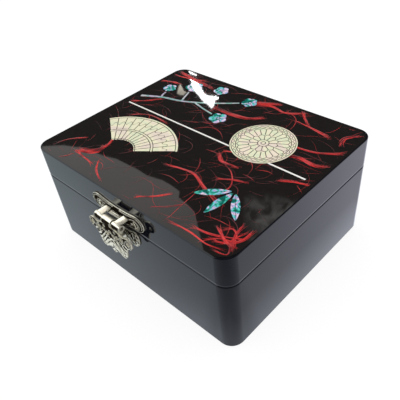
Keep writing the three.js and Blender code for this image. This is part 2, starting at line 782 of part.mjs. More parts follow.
// Base plate: the catch stands behind the hasp with a small gap.
function latchBasePlate() {
  const [low, high] = catchBelowRim.map((below) => rimHeight - below);
  const catchBlock = block(
    [-catchHalfWidth, front - haspBackProud + catchGap, low],
    [catchHalfWidth, front - latchPlateThickness / 2, high],
  );
  const nailZ = rimHeight - baseNailBelowRim;
  const { solids, bores } = latchSheet(basePlateHalf, basePlateScrolls, basePlateBeads, baseNailX, nailZ);
  return cut(join(...solids, catchBlock), ...bores);
}

// Hasp: a pierced plate with raised scrolls that hangs from one knuckle between the lugs.
function latchHasp(axisY, pinBore) {
  const shape = mirroredShape(haspHalf);
  for (const [x, above, radius] of haspHoles) {
    shape.holes.push(circleHole(x, rimHeight + above, radius));
    if (x > 0) shape.holes.push(circleHole(-x, rimHeight + above, radius));
  }
  const sheet = frontPlate(shape, haspThickness, front - haspBackProud, 4);
  const faceY = front - haspBackProud - haspThickness;
  const scrolls = haspScrolls.flatMap((route) => ridgePair(route, faceY));
  const neckHalf = lugInner - lugSideGap;
  const neckBottom = rimHeight + haspHalf[0][1] - haspNeckDrop;
  const neck = block([-neckHalf, faceY, neckBottom], [neckHalf, front - haspBackProud, latchAxisHeight]);
  const knuckle = barrel(haspKnuckleRadius, -neckHalf, neckHalf, axisY, latchAxisHeight, 20);
  return cut(join(sheet, neck, knuckle, ...scrolls), pinBore);
}

function addLatch() {
  const axisY = front - latchAxisProud;
  const pinReach = lugOuter + latchPinEnd;
  const boreRadius = latchPinRadius + latchPinClearance;
  const pinBore = barrel(boreRadius, -pinReach - 1, pinReach + 1, axisY, latchAxisHeight);
  addPiece('latch_lid_plate', latchLidPlate(axisY, pinBore), 'brass');
  addPiece('latch_base_plate', latchBasePlate(), 'brass');
  addPiece('latch_hasp', latchHasp(axisY, pinBore), 'brass');
  addPiece('latch_pin', barrel(latchPinRadius, -pinReach, pinReach, axisY, latchAxisHeight, 12), 'brass');
  const rows = [
    ['lid', lidNailX, rimHeight + lidNailAboveRim],
    ['base', baseNailX, rimHeight - baseNailBelowRim],
  ];
  for (const [body, x, z] of rows) {
    addNail(`latch_${body}_nail_left`, body, -x, z, latchPlateThickness, -1);
    addNail(`latch_${body}_nail_right`, body, x, z, latchPlateThickness, -1);
  }
}

addHinge('left', -hingeX);
addHinge('right', hingeX);
addLatch();
addBaseCase();
addDividers();
addPads();
addRingRolls();
addLidCase();
addTopDecoration();

export default box;
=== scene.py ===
"""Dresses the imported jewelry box: lacquer, fibred paper, shell inlay, velvet and antique brass."""

import json
import logging
import math
import random
from dataclasses import dataclass
from enum import Enum

import bmesh
import bpy
from mathutils import Matrix, Vector


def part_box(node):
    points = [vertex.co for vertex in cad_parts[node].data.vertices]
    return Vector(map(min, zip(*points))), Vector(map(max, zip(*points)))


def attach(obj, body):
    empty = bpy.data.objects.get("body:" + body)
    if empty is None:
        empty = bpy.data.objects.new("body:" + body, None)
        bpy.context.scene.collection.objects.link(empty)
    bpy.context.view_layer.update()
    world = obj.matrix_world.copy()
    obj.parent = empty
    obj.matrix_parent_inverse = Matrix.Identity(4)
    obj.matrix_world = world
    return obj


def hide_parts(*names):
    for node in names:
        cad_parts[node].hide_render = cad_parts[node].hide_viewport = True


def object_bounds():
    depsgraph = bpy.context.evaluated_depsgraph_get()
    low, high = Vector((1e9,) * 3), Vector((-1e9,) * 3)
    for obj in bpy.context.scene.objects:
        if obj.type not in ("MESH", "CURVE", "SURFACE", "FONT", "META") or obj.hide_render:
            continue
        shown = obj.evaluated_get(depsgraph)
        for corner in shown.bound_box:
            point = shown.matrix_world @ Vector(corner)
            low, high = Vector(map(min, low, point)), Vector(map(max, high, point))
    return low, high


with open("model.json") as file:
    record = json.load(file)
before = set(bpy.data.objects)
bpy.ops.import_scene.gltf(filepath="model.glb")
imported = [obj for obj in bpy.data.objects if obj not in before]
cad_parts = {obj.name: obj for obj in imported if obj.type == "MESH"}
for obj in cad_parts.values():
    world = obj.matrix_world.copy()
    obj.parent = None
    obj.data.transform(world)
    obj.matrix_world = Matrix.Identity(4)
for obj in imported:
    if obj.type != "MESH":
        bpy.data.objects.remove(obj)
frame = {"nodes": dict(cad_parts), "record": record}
CAD_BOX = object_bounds()

LOG = logging.getLogger("jewelry_box")
MM = 0.001
SAME_PLACE = 1e-6
NEARLY_LEVEL = 0.9
LOCAL_MAP = "local"
STRENGTH_LAYER = "strength"
NOISE_SPAN = (0.35, 0.65)
OCCLUSION_RAYS = 8

BMesh = bmesh.types.BMesh
Material = bpy.types.Material
Object = bpy.types.Object


class Body(Enum):
    """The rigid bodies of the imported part."""

    BASE = "base"
    LID = "lid"
    HASP = "hasp"


def linear(red: float, green: float, blue: float) -> tuple:
    """Returns a linear colour, which passes 1 where it stands for a bright light."""
    return red, green, blue, 1.0


def grey(level: float) -> tuple:
    """Returns a linear grey."""
    return linear(level, level, level)


def srgb(*channels: int) -> tuple:
    """Finds the linear colour of an 8-bit sRGB colour.

    Args:
        channels: its red, green and blue, from 0 to 255.

    Returns:
        The linear colour.
    """
    shares = [channel / 255 for channel in channels]
    return linear(*(share / 12.92 if share <= 0.04045 else ((share + 0.055) / 1.055) ** 2.4
                    for share in shares))


def palette(*colours: tuple) -> tuple:
    """Returns the linear colours of several 8-bit sRGB colours."""
    return tuple(srgb(*colour) for colour in colours)


class Sock:
    """A shader socket that can be used in Python expressions."""

    def __init__(self, graph: "Graph", socket: bpy.types.NodeSocket) -> None:
        """Keeps the socket and the graph that it belongs to."""
        self.graph = graph
        self.socket = socket

    def _math(self, operation: str, first: object, second: object = 0.0) -> "Sock":
        """Returns the result of a Math node on numbers or Socks."""
        return self.graph.node("Math", {0: first, 1: second}, operation=operation)

    def __add__(self, other: object) -> "Sock":
        """Returns self + other."""
        return self._math("ADD", self, other)

    __radd__ = __add__

    def __sub__(self, other: object) -> "Sock":
        """Returns self - other."""
        return self._math("SUBTRACT", self, other)

    def __rsub__(self, other: object) -> "Sock":
        """Returns other - self."""
        return self._math("SUBTRACT", other, self)

    def __mul__(self, other: object) -> "Sock":
        """Returns self * other."""
        return self._math("MULTIPLY", self, other)

    __rmul__ = __mul__

    def __lt__(self, other: object) -> "Sock":
        """Returns 1 where self is less than other."""
        return self._math("LESS_THAN", self, other)

    def __gt__(self, other: object) -> "Sock":
        """Returns 1 where self is greater than other."""
        return self._math("GREATER_THAN", self, other)

    def sine(self) -> "Sock":
        """Returns the sine of an angle in radians."""
        return self._math("SINE", self)

    def cosine(self) -> "Sock":
        """Returns the cosine of an angle in radians."""
        return self._math("COSINE", self)

    def size(self) -> "Sock":
        """Returns the value without its sign."""
        return self._math("ABSOLUTE", self)

    def angle(self, other: object) -> "Sock":
        """Returns the angle of the point (other, self)."""
        return self._math("ARCTAN2", self, other)

    def hypot(self, other: "Sock") -> "Sock":
        """Returns the length of the vector (self, other)."""
        return self._math("SQRT", self * self + other * other)

    def either(self, other: "Sock") -> "Sock":
        """Returns the larger of two values."""
        return self._math("MAXIMUM", self, other)

    def ramp(self, low: float, high: float) -> "Sock":
        """Returns 0 at low rising to 1 at high, or the other way round where low is the larger."""
        return self.graph.node("MapRange", {"Value": self, "From Min": low, "From Max": high})


class Graph:
    """A material's or world's node tree, filled through one method."""

    def __init__(self, tree: bpy.types.NodeTree) -> None:
        """Empties the tree and keeps it."""
        tree.nodes.clear()
        self.tree = tree

    def node(self, kind: str, inputs: dict | None = None, output: object = 0, **settings: object) -> Sock:
        """Adds one node.

        Args:
            kind: the node's type name, without the ShaderNode that each one starts with.
            inputs: values or Socks by socket name or index.
            output: name or index of the output to return.
            settings: properties to set first; a colour ramp's stops go under stops.

        Returns:
            The chosen output's Sock.
        """
        node = self.tree.nodes.new(f"ShaderNode{kind}")
        for name, value in settings.items():
            if name == "stops":
                self._set_stops(node, value)
            else:
                setattr(node, name, value)
        for name, value in (inputs or {}).items():
            if isinstance(value, Sock):
                self.tree.links.new(value.socket, node.inputs[name])
            else:
                node.inputs[name].default_value = value
        return Sock(self, node.outputs[output] if node.outputs else None)

    @staticmethod
    def _set_stops(node: bpy.types.Node, stops: list) -> None:
        """Writes a colour ramp's stops.

        Args:
            node: the colour ramp's node.
            stops: its (position, colour) pairs.
        """
        elements = node.color_ramp.elements
        while len(elements) < len(stops):
            elements.new(1.0)
        for element, (position, colour) in zip(elements, stops):
            element.position = position
            element.color = colour

    def parts(self, vector: Sock) -> list[Sock]:
        """Returns a vector's three parts."""
        first = self.node("SeparateXYZ", {0: vector})
        return [Sock(self, socket) for socket in first.socket.node.outputs]

    def place(self) -> list[Sock]:
        """Returns the three Object coordinates, in metres."""
        return self.parts(self.node("TexCoord", output="Object"))

    def facing(self) -> Sock:
        """Returns how much the surface faces the back (1) or the front (-1)."""
        return self.parts(self.node("TexCoord", output="Normal"))[1]

    def local(self) -> list[Sock]:
        """Returns the piece's own two coordinates, where 1 is its reach from its centre."""
        return self.parts(self.node("UVMap", uv_map=LOCAL_MAP))[:2]

    def noise(self, scale: float, detail: float = 3.0, twist: float = 0.0) -> Sock:
        """Adds noise on Object coordinates.

        Args:
            scale: how fine it is.
            detail: how many finer layers it has.
            twist: how distorted it is.

        Returns:
            The noise, which lies round 0.5.
        """
        inputs = {"Scale": scale, "Detail": detail, "Distortion": twist}
        inputs["Vector"] = self.node("TexCoord", output="Object")
        return self.node("TexNoise", inputs, "Fac")

    def open_air(self, distance: float, inside: bool = False) -> Sock:
        """Returns how open the space within a distance is, outside the surface or inside it."""
        settings = {"samples": OCCLUSION_RAYS, "inside": inside}
        return self.node("AmbientOcclusion", {"Distance": distance}, "AO", **settings)

    def mix(self, factor: object, low: object, high: object, blend: str = "MIX") -> Sock:
        """Returns low mixed towards high by factor, or towards another blend of the two."""
        return self.node("Mix", {0: factor, 6: low, 7: high}, 2, data_type="RGBA", blend_type=blend)

    def tints(self, value: Sock, colours: tuple, low: float, high: float) -> Sock:
        """Spreads colours evenly over a value.

        Args:
            value: the value.
            colours: two colours or more.
            low: the value that has the first colour.
            high: the value that has the last one.

        Returns:
            The colour.
        """
        step = (high - low) / (len(colours) - 1)
        stops = [(low + index * step, colour) for index, colour in enumerate(colours)]
        return self.node("ValToRGB", {0: value}, stops=stops)

    def greys(self, value: Sock, levels: tuple, reach: float = 1.0) -> Sock:
        """Returns the grey that goes with a value from 0 to reach, from (value, level) pairs."""
        stops = [(at / reach, grey(level)) for at, level in levels]
        return self.node("ValToRGB", {0: value * (1 / reach)}, stops=stops)

    def bump(self, height: Sock, strength: float, distance: float) -> Sock:
        """Returns the normal of a surface raised by a height."""
        return self.node("Bump", {"Strength": strength, "Distance": distance, "Height": height}, "Normal")

    def glow(self, colour: object, strength: object = 1.0) -> Sock:
        """Returns a shader that gives off light."""
        return self.node("Emission", {"Color": colour, "Strength": strength})

    def blend(self, factor: Sock, first: Sock, second: Sock) -> Sock:
        """Returns the first shader blended towards the second by factor."""
        return self.node("MixShader", {0: factor, 1: first, 2: second})

    def surface(self, shader: Sock) -> None:
        """Links a shader to the material's output."""
        self.node("OutputMaterial", {"Surface": shader})


def new_graph(name: str) -> tuple[Material, Graph]:
    """Makes an empty material.

    Args:
        name: its name.

    Returns:
        The material and its graph.
    """
    material = bpy.data.materials.new(name)
    material.use_nodes = True
    return material, Graph(material.node_tree)


@dataclass(frozen=True)
class Finish:
    """A surface finish with a slightly uneven colour and roughness."""

    name: str
    slot: str
    dark: tuple = grey(0.0)
    light: tuple = grey(0.0)
    roughness: float = 0.04
    spread: float = 0.01
    grain: float = 400.0
    metallic: float = 0.0
    gloss: float = 0.5
    ior: float = 1.5
    gloss_tint: tuple = grey(1.0)

    def colour(self, graph: Graph) -> Sock:
        """Returns the colour over the surface."""
        return graph.mix(graph.noise(self.grain), self.dark, self.light)

    def metal(self, graph: Graph, colour: Sock) -> object:
        """Returns how metallic the surface is, from its colour where that varies."""
        return self.metallic

    def extras(self, graph: Graph) -> dict:
        """Returns the inputs that only some finishes have, such as the normal of a relief."""
        return {}

    def build(self) -> Material:
        """Makes the finish's material.

        Returns:
            The material.
        """
        material, graph = new_graph(self.name)
        colour = self.colour(graph)
        inputs = {
            "Base Color": colour,
            "Roughness": graph.noise(self.grain) * self.spread + self.roughness,
            "Metallic": self.metal(graph, colour),
            "Specular IOR Level": self.gloss,
            "IOR": self.ior,
            "Specular Tint": self.gloss_tint,
        }
        graph.surface(graph.node("BsdfPrincipled", inputs | self.extras(graph)))
        return material


@dataclass(frozen=True)
class FibreFinish(Finish):
    """Red fibres that sink into the dark paper here and there along their length."""

    grain: float = 500.0
    sunk: tuple = srgb(52, 24, 26)
    dip: float = 75.0
    surfaced: tuple = (0.34, 0.46)

    def colour(self, graph: Graph) -> Sock:
        """Returns the fibre's colour, darker where it is sunk."""
        surfaced = graph.noise(self.dip, detail=2.0).ramp(*self.surfaced)
        return graph.mix(surfaced, self.sunk, super().colour(graph))


@dataclass(frozen=True)
class VelvetFinish(Finish):
    """Velvet with brushed patches and a fine pile."""

    brushed: float = 60.0
    brushed_share: float = 0.65
    pile: float = 2600.0
    pile_depth: float = 0.25 * MM
    sheen: float = 0.5
    sheen_roughness: float = 0.4

    def colour(self, graph: Graph) -> Sock:
        """Returns the pile's colour, lighter where it is brushed."""
        brushed = graph.noise(self.brushed, detail=4.0, twist=0.6).ramp(*NOISE_SPAN) * self.brushed_share
        return graph.mix(brushed + graph.noise(self.grain) * (1 - self.brushed_share), self.dark, self.light)

    def extras(self, graph: Graph) -> dict:
        """Returns the normal of the pile, and its sheen."""
        normal = graph.bump(graph.noise(self.pile), strength=0.7, distance=self.pile_depth)
        return {"Normal": normal, "Sheen Weight": self.sheen, "Sheen Roughness": self.sheen_roughness}


@dataclass(frozen=True)
class AntiqueFinish(Finish):
    """Metal rubbed bright on its raised parts, with matt dark tarnish in its hollows and painted shade on the
    surfaces that face the back.
    """

    # colour of the tarnish, also used as painted shade on the surfaces that face the back
    tarnish_and_shade: tuple = linear(0.012, 0.009, 0.006)
    patch: float = 260.0
    blotches: tuple = (0.6, 0.74)
    hollow: float = 1.1 * MM
    hollows: tuple = (0.84, 0.54)
    # painted shade on the surfaces that face the back: the span of facing over which it deepens, and its
    # share
    back_shade_span: tuple = (0.15, 0.5)
    back_shade_share: float = 0.82
    bare: tuple = (0.05, 0.4)
    pitting: float = 0.12 * MM

    def colour(self, graph: Graph) -> Sock:
        """Makes the metal's colour, dark where the tarnish has stayed and with painted shade where the
        surface faces the back.

        Args:
            graph: the material's graph.

        Returns:
            The colour.
        """
        blotch = graph.noise(self.patch, detail=4.0).ramp(*self.blotches)
        hollow = graph.open_air(self.hollow).ramp(*self.hollows)
        # painted shade: darker where the surface faces the back, as if it lay in shadow
        back = graph.facing().ramp(*self.back_shade_span) * self.back_shade_share
        return graph.mix(blotch.either(hollow).either(back), super().colour(graph), self.tarnish_and_shade)

    def metal(self, graph: Graph, colour: Sock) -> Sock:
        """Returns how metallic the surface is: not at all where the tarnish has stayed or the painted shade
        is dark.
        """
        return graph.node("RGBToBW", {0: colour}).ramp(*self.bare) * self.metallic

    def extras(self, graph: Graph) -> dict:
        """Returns the normal of the casting, pitted with age and use."""
        pits = graph.noise(self.patch * 2, detail=2.0)
        return {"Normal": graph.bump(pits, strength=0.25, distance=self.pitting)}


@dataclass(frozen=True)
class ChasedFinish(AntiqueFinish):
    """Antique metal with flowing chased lines, the same on both sides of the middle.

    Its fronts are darker higher up, except along their rims and round the nails of the lid plate.
    """

    flow: float = 165.0
    wander: float = 9.0
    cut: tuple = (0.4, 0.2)
    cut_depth: float = 0.2 * MM
    front: float = 0.7
    # heights between which the chased lines go from thin to wide and dark, and the thresholds that set their
    # width
    darkening_heights: tuple = (38 * MM, 50 * MM)
    line_thresholds: tuple = (-0.12, 0.85)
    rim: float = 0.36 * MM
    rims: tuple = (0.92, 0.8)
    nail: tuple = (15.2 * MM, 57.2 * MM)
    seat: tuple = (1.8 * MM, 0.3 * MM)

    def chasing(self, graph: Graph) -> Sock:
        """Makes a wave whose low bands are the chased lines.

        Args:
            graph: the material's graph.

        Returns:
            The wave, from 0 to 1.
        """
        x, _, z = graph.place()
        inputs = {"Scale": self.flow, "Distortion": self.wander, "Detail": 1.0, "Detail Scale": 0.8}
        inputs["Vector"] = graph.node("CombineXYZ", {0: x.size(), 2: z})
        return graph.node("TexWave", inputs, "Fac", bands_direction="DIAGONAL")

    def upright(self, graph: Graph) -> Sock:
        """Returns 1 on the surfaces that face the front or the back."""
        return graph.facing().size() > self.front

    def raised(self, graph: Graph) -> Sock:
        """Finds the rims, and a ring round each nail of the lid plate.

        Args:
            graph: the material's graph.

        Returns:
            1 on them and 0 elsewhere.
        """
        x, _, z = graph.place()
        radius, width = self.seat
        off_ring = (x.size() - self.nail[0]).hypot(z - self.nail[1]) - radius
        return graph.open_air(self.rim, inside=True).ramp(*self.rims).either(off_ring.size() < width)

    def colour(self, graph: Graph) -> Sock:
        """Makes the metal's colour, dark in the chased lines too.

        Args:
            graph: the material's graph.

        Returns:
            The colour.
        """
        # the chased lines grow wider and darker higher up
        low, high = self.line_thresholds
        depth = graph.place()[2].ramp(*self.darkening_heights) * (high - low) + low
        lines = (self.chasing(graph) - depth).ramp(*self.cut) * self.upright(graph)
        return graph.mix(lines * (1.0 - self.raised(graph)), super().colour(graph), self.tarnish_and_shade)

    def extras(self, graph: Graph) -> dict:
        """Returns the normal of the chased surface."""
        height = self.chasing(graph) * self.upright(graph)
        return {"Normal": graph.bump(height, strength=0.35, distance=self.cut_depth)}


@dataclass(frozen=True)
class Engraving:
    """Fine dark lines cut into a shell piece, in the piece's own measure, where 1 is its reach."""

    line: float = 0.014

    def mask(self, across: Sock, along: Sock) -> Sock:
        """Returns 1 on the engraved lines and 0 between them."""
        return across.hypot(along) < self.line

    def ring(self, reach: Sock, radius: object) -> Sock:
        """Returns a ring of a constant or varying radius."""
        return (reach - radius).size() < self.line

    def rings_at(self, reach: Sock, first: object, *others: float) -> Sock:
        """Draws rings of several radii.

        Args:
            reach: distance from the centre.
            first: the first radius, which may vary.
            others: the other radii.

        Returns:
            The rings' mask.
        """
        lines = self.ring(reach, first)
        for radius in others:
            lines = lines.either(self.ring(reach, radius))
        return lines

    def spokes(self, angle: Sock, reach: Sock, count: int, low: float, high: float) -> Sock:
        """Returns lines that run outwards from one radius to another.

        Args:
            angle: angle about the centre.
            reach: distance from the centre.
            count: number of spokes in the full circle.
            low: radius where they start.
            high: radius where they end.

        Returns:
            The spokes' mask.
        """
        near = (angle * (count / 2)).sine().size() * reach < self.line * count / 2
        return near * (reach > low) * (reach < high)


@dataclass(frozen=True)
class Rosette(Engraving):
    """Rows of petals round a centre inside a scrolled border."""

    rows: tuple = ((0.17, 0.44, 12), (0.44, 0.78, 24))
    rings: tuple = (0.07, 0.17, 0.82, 0.95)
    tip: float = 0.06
    scrolls: int = 34
    scroll: float = 0.024

    def mask(self, across: Sock, along: Sock) -> Sock:
        """Draws the engraved lines.

        Args:
            across: the piece's first coordinate.
            along: its second coordinate.

        Returns:
            1 on the lines and 0 between them.
        """
        reach = across.hypot(along)
        angle = along.angle(across)
        middle = sum(self.rings[-2:]) / 2
        lines = self.rings_at(reach, (angle * self.scrolls).sine() * self.scroll + middle, *self.rings)
        for low, high, petals in self.rows:
            tips = (angle * (petals / 2)).sine().size() * self.tip + (high - self.tip)
            lines = lines.either(self.ring(reach, tips))
            lines = lines.either(self.spokes(angle, reach, petals, low, high - self.tip))
        return lines


@dataclass(frozen=True)
class FanFolds(Engraving):
    """Ribs and folds of a paper fan about its pivot."""

    folds: int = 40
    rings: tuple = (0.345, 0.58, 0.62, 0.965)
    wave: float = 0.8
    wave_height: float = 0.04

    def mask(self, across: Sock, along: Sock) -> Sock:
        """Draws the engraved lines.

        Args:
            across: the piece's first coordinate.
            along: its second coordinate.

        Returns:
            1 on the lines and 0 between them.
        """
        reach = across.hypot(along)
        angle = along.angle(across)
        lines = self.rings_at(reach, (angle * self.folds).sine() * self.wave_height + self.wave, *self.rings)
        for low, high in ((0.0, self.rings[1]), self.rings[2:]):
            lines = lines.either(self.spokes(angle, reach, self.folds, low, high))
        return lines


@dataclass(frozen=True)
class Petals(Engraving):
    """Five petals with stamens about a small centre."""

    line: float = 0.03
    petals: int = 5
    centre: float = 0.17
    stamen: float = 0.5
    stamen_line: float = 1.6

    def mask(self, across: Sock, along: Sock) -> Sock:
        """Draws the engraved lines.

        Args:
            across: the piece's first coordinate.
            along: its second coordinate.

        Returns:
            1 on the lines and 0 between them.
        """
        reach = across.hypot(along)
        turn = along.angle(across) * (self.petals / 2)
        gaps = turn.cosine().size() * reach < self.line * self.petals / 2
        stamens = (turn.sine().size() * reach < self.line * self.stamen_line) * (reach < self.stamen)
        return (gaps.either(stamens) * (reach > self.centre)).either(self.ring(reach, self.centre))


@dataclass(frozen=True)
class Veins(Engraving):
    """The midrib and side veins of a leaf that lies along its first coordinate."""

    line: float = 0.012
    veins: float = 16.0
    slant: float = 2.2
    thin: float = 0.965

    def mask(self, across: Sock, along: Sock) -> Sock:
        """Returns 1 on the engraved lines and 0 between them."""
        side = ((across - along.size() * self.slant) * self.veins).sine() > self.thin
        return (along.size() < self.line).either(side)


@dataclass(frozen=True)
class ShellFinish(Finish):
    """Shell whose colour drifts between several tints, with engraved lines."""

    tints: tuple = ()
    twist: float = 0.3
    spans: tuple = (0.38, 0.62)
    engraving: Engraving | None = None
    ink: tuple = srgb(46, 42, 34)

    def colour(self, graph: Graph) -> Sock:
        """Makes the shell's colour with its engraved lines.

        Args:
            graph: the material's graph.

        Returns:
            The colour.
        """
        colour = graph.tints(graph.noise(self.grain, detail=1.0, twist=self.twist), self.tints, *self.spans)
        if self.engraving:
            colour = graph.mix(self.engraving.mask(*graph.local()), colour, self.ink)
        return colour


LACQUER = Finish(
    "black_lacquer", "black_lacquer", *palette((13, 14, 19), (17, 18, 24)), 0.03, grain=30, ior=1.45,
    gloss_tint=linear(0.97, 0.98, 1.0),
)
PAPER = Finish("lacquered_paper", "lacquered_paper", *palette((22, 19, 18), (32, 28, 27)), 0.02, 0.006, 300)
BRIGHT_FIBRE = FibreFinish(
    "bright_fibre", "lacquered_paper", *palette((192, 24, 30), (255, 78, 74)), sunk=srgb(132, 26, 34),
)
SOFT_FIBRE = FibreFinish("soft_fibre", "lacquered_paper", *palette((140, 28, 38), (214, 52, 54)))
DEEP_FIBRE = FibreFinish(
    "deep_fibre", "lacquered_paper", *palette((84, 28, 36), (136, 36, 44)), sunk=srgb(40, 24, 25),
)
VELVET = VelvetFinish("velvet", "velvet", *palette((88, 10, 22), (146, 26, 42)), 0.85, 0.1, 1400)
FELT = VelvetFinish("felt", "felt", *palette((22, 22, 24), (40, 40, 43)), 0.9, 0.1, 900, sheen=0.1)
BRASS = AntiqueFinish(
    "antique_brass", "antique_brass", *palette((222, 210, 176), (250, 244, 222)), 0.12, 0.08, 900,
    metallic=1.0, gloss=0.0,
)
CHASED_BRASS = ChasedFinish(
    "chased_brass", "antique_brass", *palette((246, 238, 210), (255, 253, 240)), 0.14, 0.08, 900,
    metallic=0.65, gloss=0.0,
)
CREAM = palette((246, 232, 212), (242, 238, 206), (226, 234, 202), (246, 240, 208), (238, 224, 208))
PALE = palette((252, 250, 242), (255, 254, 250), (247, 245, 238))
STEM = palette((196, 184, 206), (120, 178, 166), (214, 206, 216), (150, 196, 186))
ABALONE = palette(
    (238, 218, 238), (206, 176, 222), (132, 190, 228), (96, 218, 200), (28, 156, 136), (10, 104, 94),
)
MEDALLION = ShellFinish("medallion_shell", "pale_shell", grain=110, tints=CREAM, engraving=Rosette(0.011))
FAN = ShellFinish("fan_shell", "pale_shell", grain=80, tints=CREAM[1:], engraving=FanFolds(0.0055))
LINE = ShellFinish("line_shell", "pale_shell", grain=90, tints=PALE)
BRANCH = ShellFinish("branch_shell", "coloured_shell", grain=150, tints=STEM)
BLOSSOM = ShellFinish(
    "blossom_shell", "coloured_shell", grain=190, tints=ABALONE, twist=1.6, engraving=Petals(),
)
LEAF = ShellFinish("leaf_shell", "coloured_shell", grain=170, tints=ABALONE, twist=1.4, engraving=Veins())
GLASS = Finish("mirror_glass", "mirror_glass", *palette((214, 218, 220), (222, 226, 228)), 0.01, 0.0, 50, 1.0)


def placed(name: str, mesh: BMesh, material: Material) -> Object:
    """Puts a bmesh into the scene at the origin.

    Args:
        name: the object's name.
        mesh: its shape in metres; it is freed here.
        material: its material.

    Returns:
        The new object.
    """
    data = bpy.data.meshes.new(name)
    mesh.to_mesh(data)
    mesh.free()
    data.materials.append(material)
    obj = bpy.data.objects.new(name, data)
    bpy.context.scene.collection.objects.link(obj)
    return obj


class Workshop:
    """Makes each finish once and puts pieces into the scene."""

    def __init__(self) -> None:
        """Starts with no materials made."""
        self.made: dict[str, Material] = {}

    def material(self, finish: Finish) -> Material:
        """Finds a finish's material, and makes it on first use.

        Args:
            finish: the finish.

        Returns:
            The material.
        """
        if finish.name not in self.made:
            self.made[finish.name] = finish.build()
        return self.made[finish.name]

    def piece(self, name: str, mesh: BMesh, finish: Finish, body: Body, nodes: tuple = ()) -> Object:
        """Turns a bmesh into a piece of the object.

        Args:
            name: the piece's name.
            mesh: its shape in metres; it is freed here.
            finish: its finish.
            body: the body that it rides on.
            nodes: CAD nodes that it stands for.

        Returns:
            The new object.
        """
        bmesh.ops.remove_doubles(mesh, verts=mesh.verts, dist=SAME_PLACE / 10)
        bmesh.ops.recalc_face_normals(mesh, faces=mesh.faces)
        obj = placed(name, mesh, self.material(finish))
        obj.data.shade_smooth()
        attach(obj, body.value)
        if nodes:
            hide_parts(*nodes)
        LOG.info("piece %s on %s", name, body.value)
        return obj

    def dress(self, node: str, finish: Finish) -> None:
        """Gives a CAD node its finish.

        Args:
            node: the CAD node.
            finish: the finish.
        """
        obj = frame["nodes"][node]
        obj.data.materials.clear()
        obj.data.materials.append(self.material(finish))
        LOG.info("dressed %s", node)

    def eased(self, name: str, node: str, finish: Finish, body: Body, width: float, sharp: float) -> None:
        """Makes a copy of a CAD node with softened edges and smooth round faces.

        Args:
            name: the piece's name.
            node: the CAD node that it copies and stands for.
            finish: its finish.
            body: the body that it rides on.
            width: how far each edge is softened, in metres.
            sharp: least angle of an edge that counts as one, in degrees.
        """
        obj = self.piece(name, node_mesh(node), finish, body, (node,))
        obj.data.set_sharp_from_angle(angle=math.radians(sharp))
        bevel = obj.modifiers.new("ease", "BEVEL")
        bevel.width = width
        bevel.segments = 2
        bevel.limit_method = "ANGLE"
        bevel.angle_limit = math.radians(sharp)
        bevel.harden_normals = True


def node_mesh(node: str) -> BMesh:
    """Copies a CAD node's mesh and merges the points that lie in one place.

    Args:
        node: the CAD node.

    Returns:
        The copy.
    """
    mesh = bmesh.new()
    mesh.from_mesh(frame["nodes"][node].data)
    bmesh.ops.remove_doubles(mesh, verts=mesh.verts, dist=SAME_PLACE)
    return mesh


def bevel_edges(mesh: BMesh, edges: list, offset: float, segments: int) -> None:
    """Rounds edges.

    Args:
        mesh: the mesh that they belong to.
        edges: the edges.
        offset: width of the rounding in metres.
        segments: flat faces that make each rounding.
    """
    bmesh.ops.bevel(
        mesh, geom=edges, offset=offset, segments=segments, affect="EDGES", profile=0.5, material=-1,
    )


def rounded_block(low: Vector, high: Vector, corner: float, steps: int) -> BMesh:
    """Makes an upright block with rounded upright corners.

    Args:
        low: lowest corner.
        high: highest corner.
        corner: corner radius.
        steps: flat faces that make each corner.

    Returns:
        The block's bmesh.
    """
    mesh = bmesh.new()
    size = high - low
    matrix = Matrix.Translation((low + high) / 2) @ Matrix.Diagonal((*size, 1.0))
    bmesh.ops.create_cube(mesh, size=1.0, matrix=matrix)
    upright = [edge for edge in mesh.edges if abs(edge.verts[0].co.z - edge.verts[1].co.z) > size.z / 2]
    bevel_edges(mesh, upright, corner, steps)
    return mesh


def flat_face(mesh: BMesh, up: int) -> bmesh.types.BMFace:
    """Finds the largest face that looks up or down.

    Args:
        mesh: the mesh.
        up: which way it looks: up (1) or down (-1).

    Returns:
        The face.
    """
    mesh.normal_update()
    level = (face for face in mesh.faces if face.normal.z * up > NEARLY_LEVEL)
    return max(level, key=lambda face: face.calc_area())


def corners(node: str) -> tuple[Vector, Vector]:
    """Returns a CAD node's lowest and highest corners."""
    low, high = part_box(node)
    return Vector(low), Vector(high)


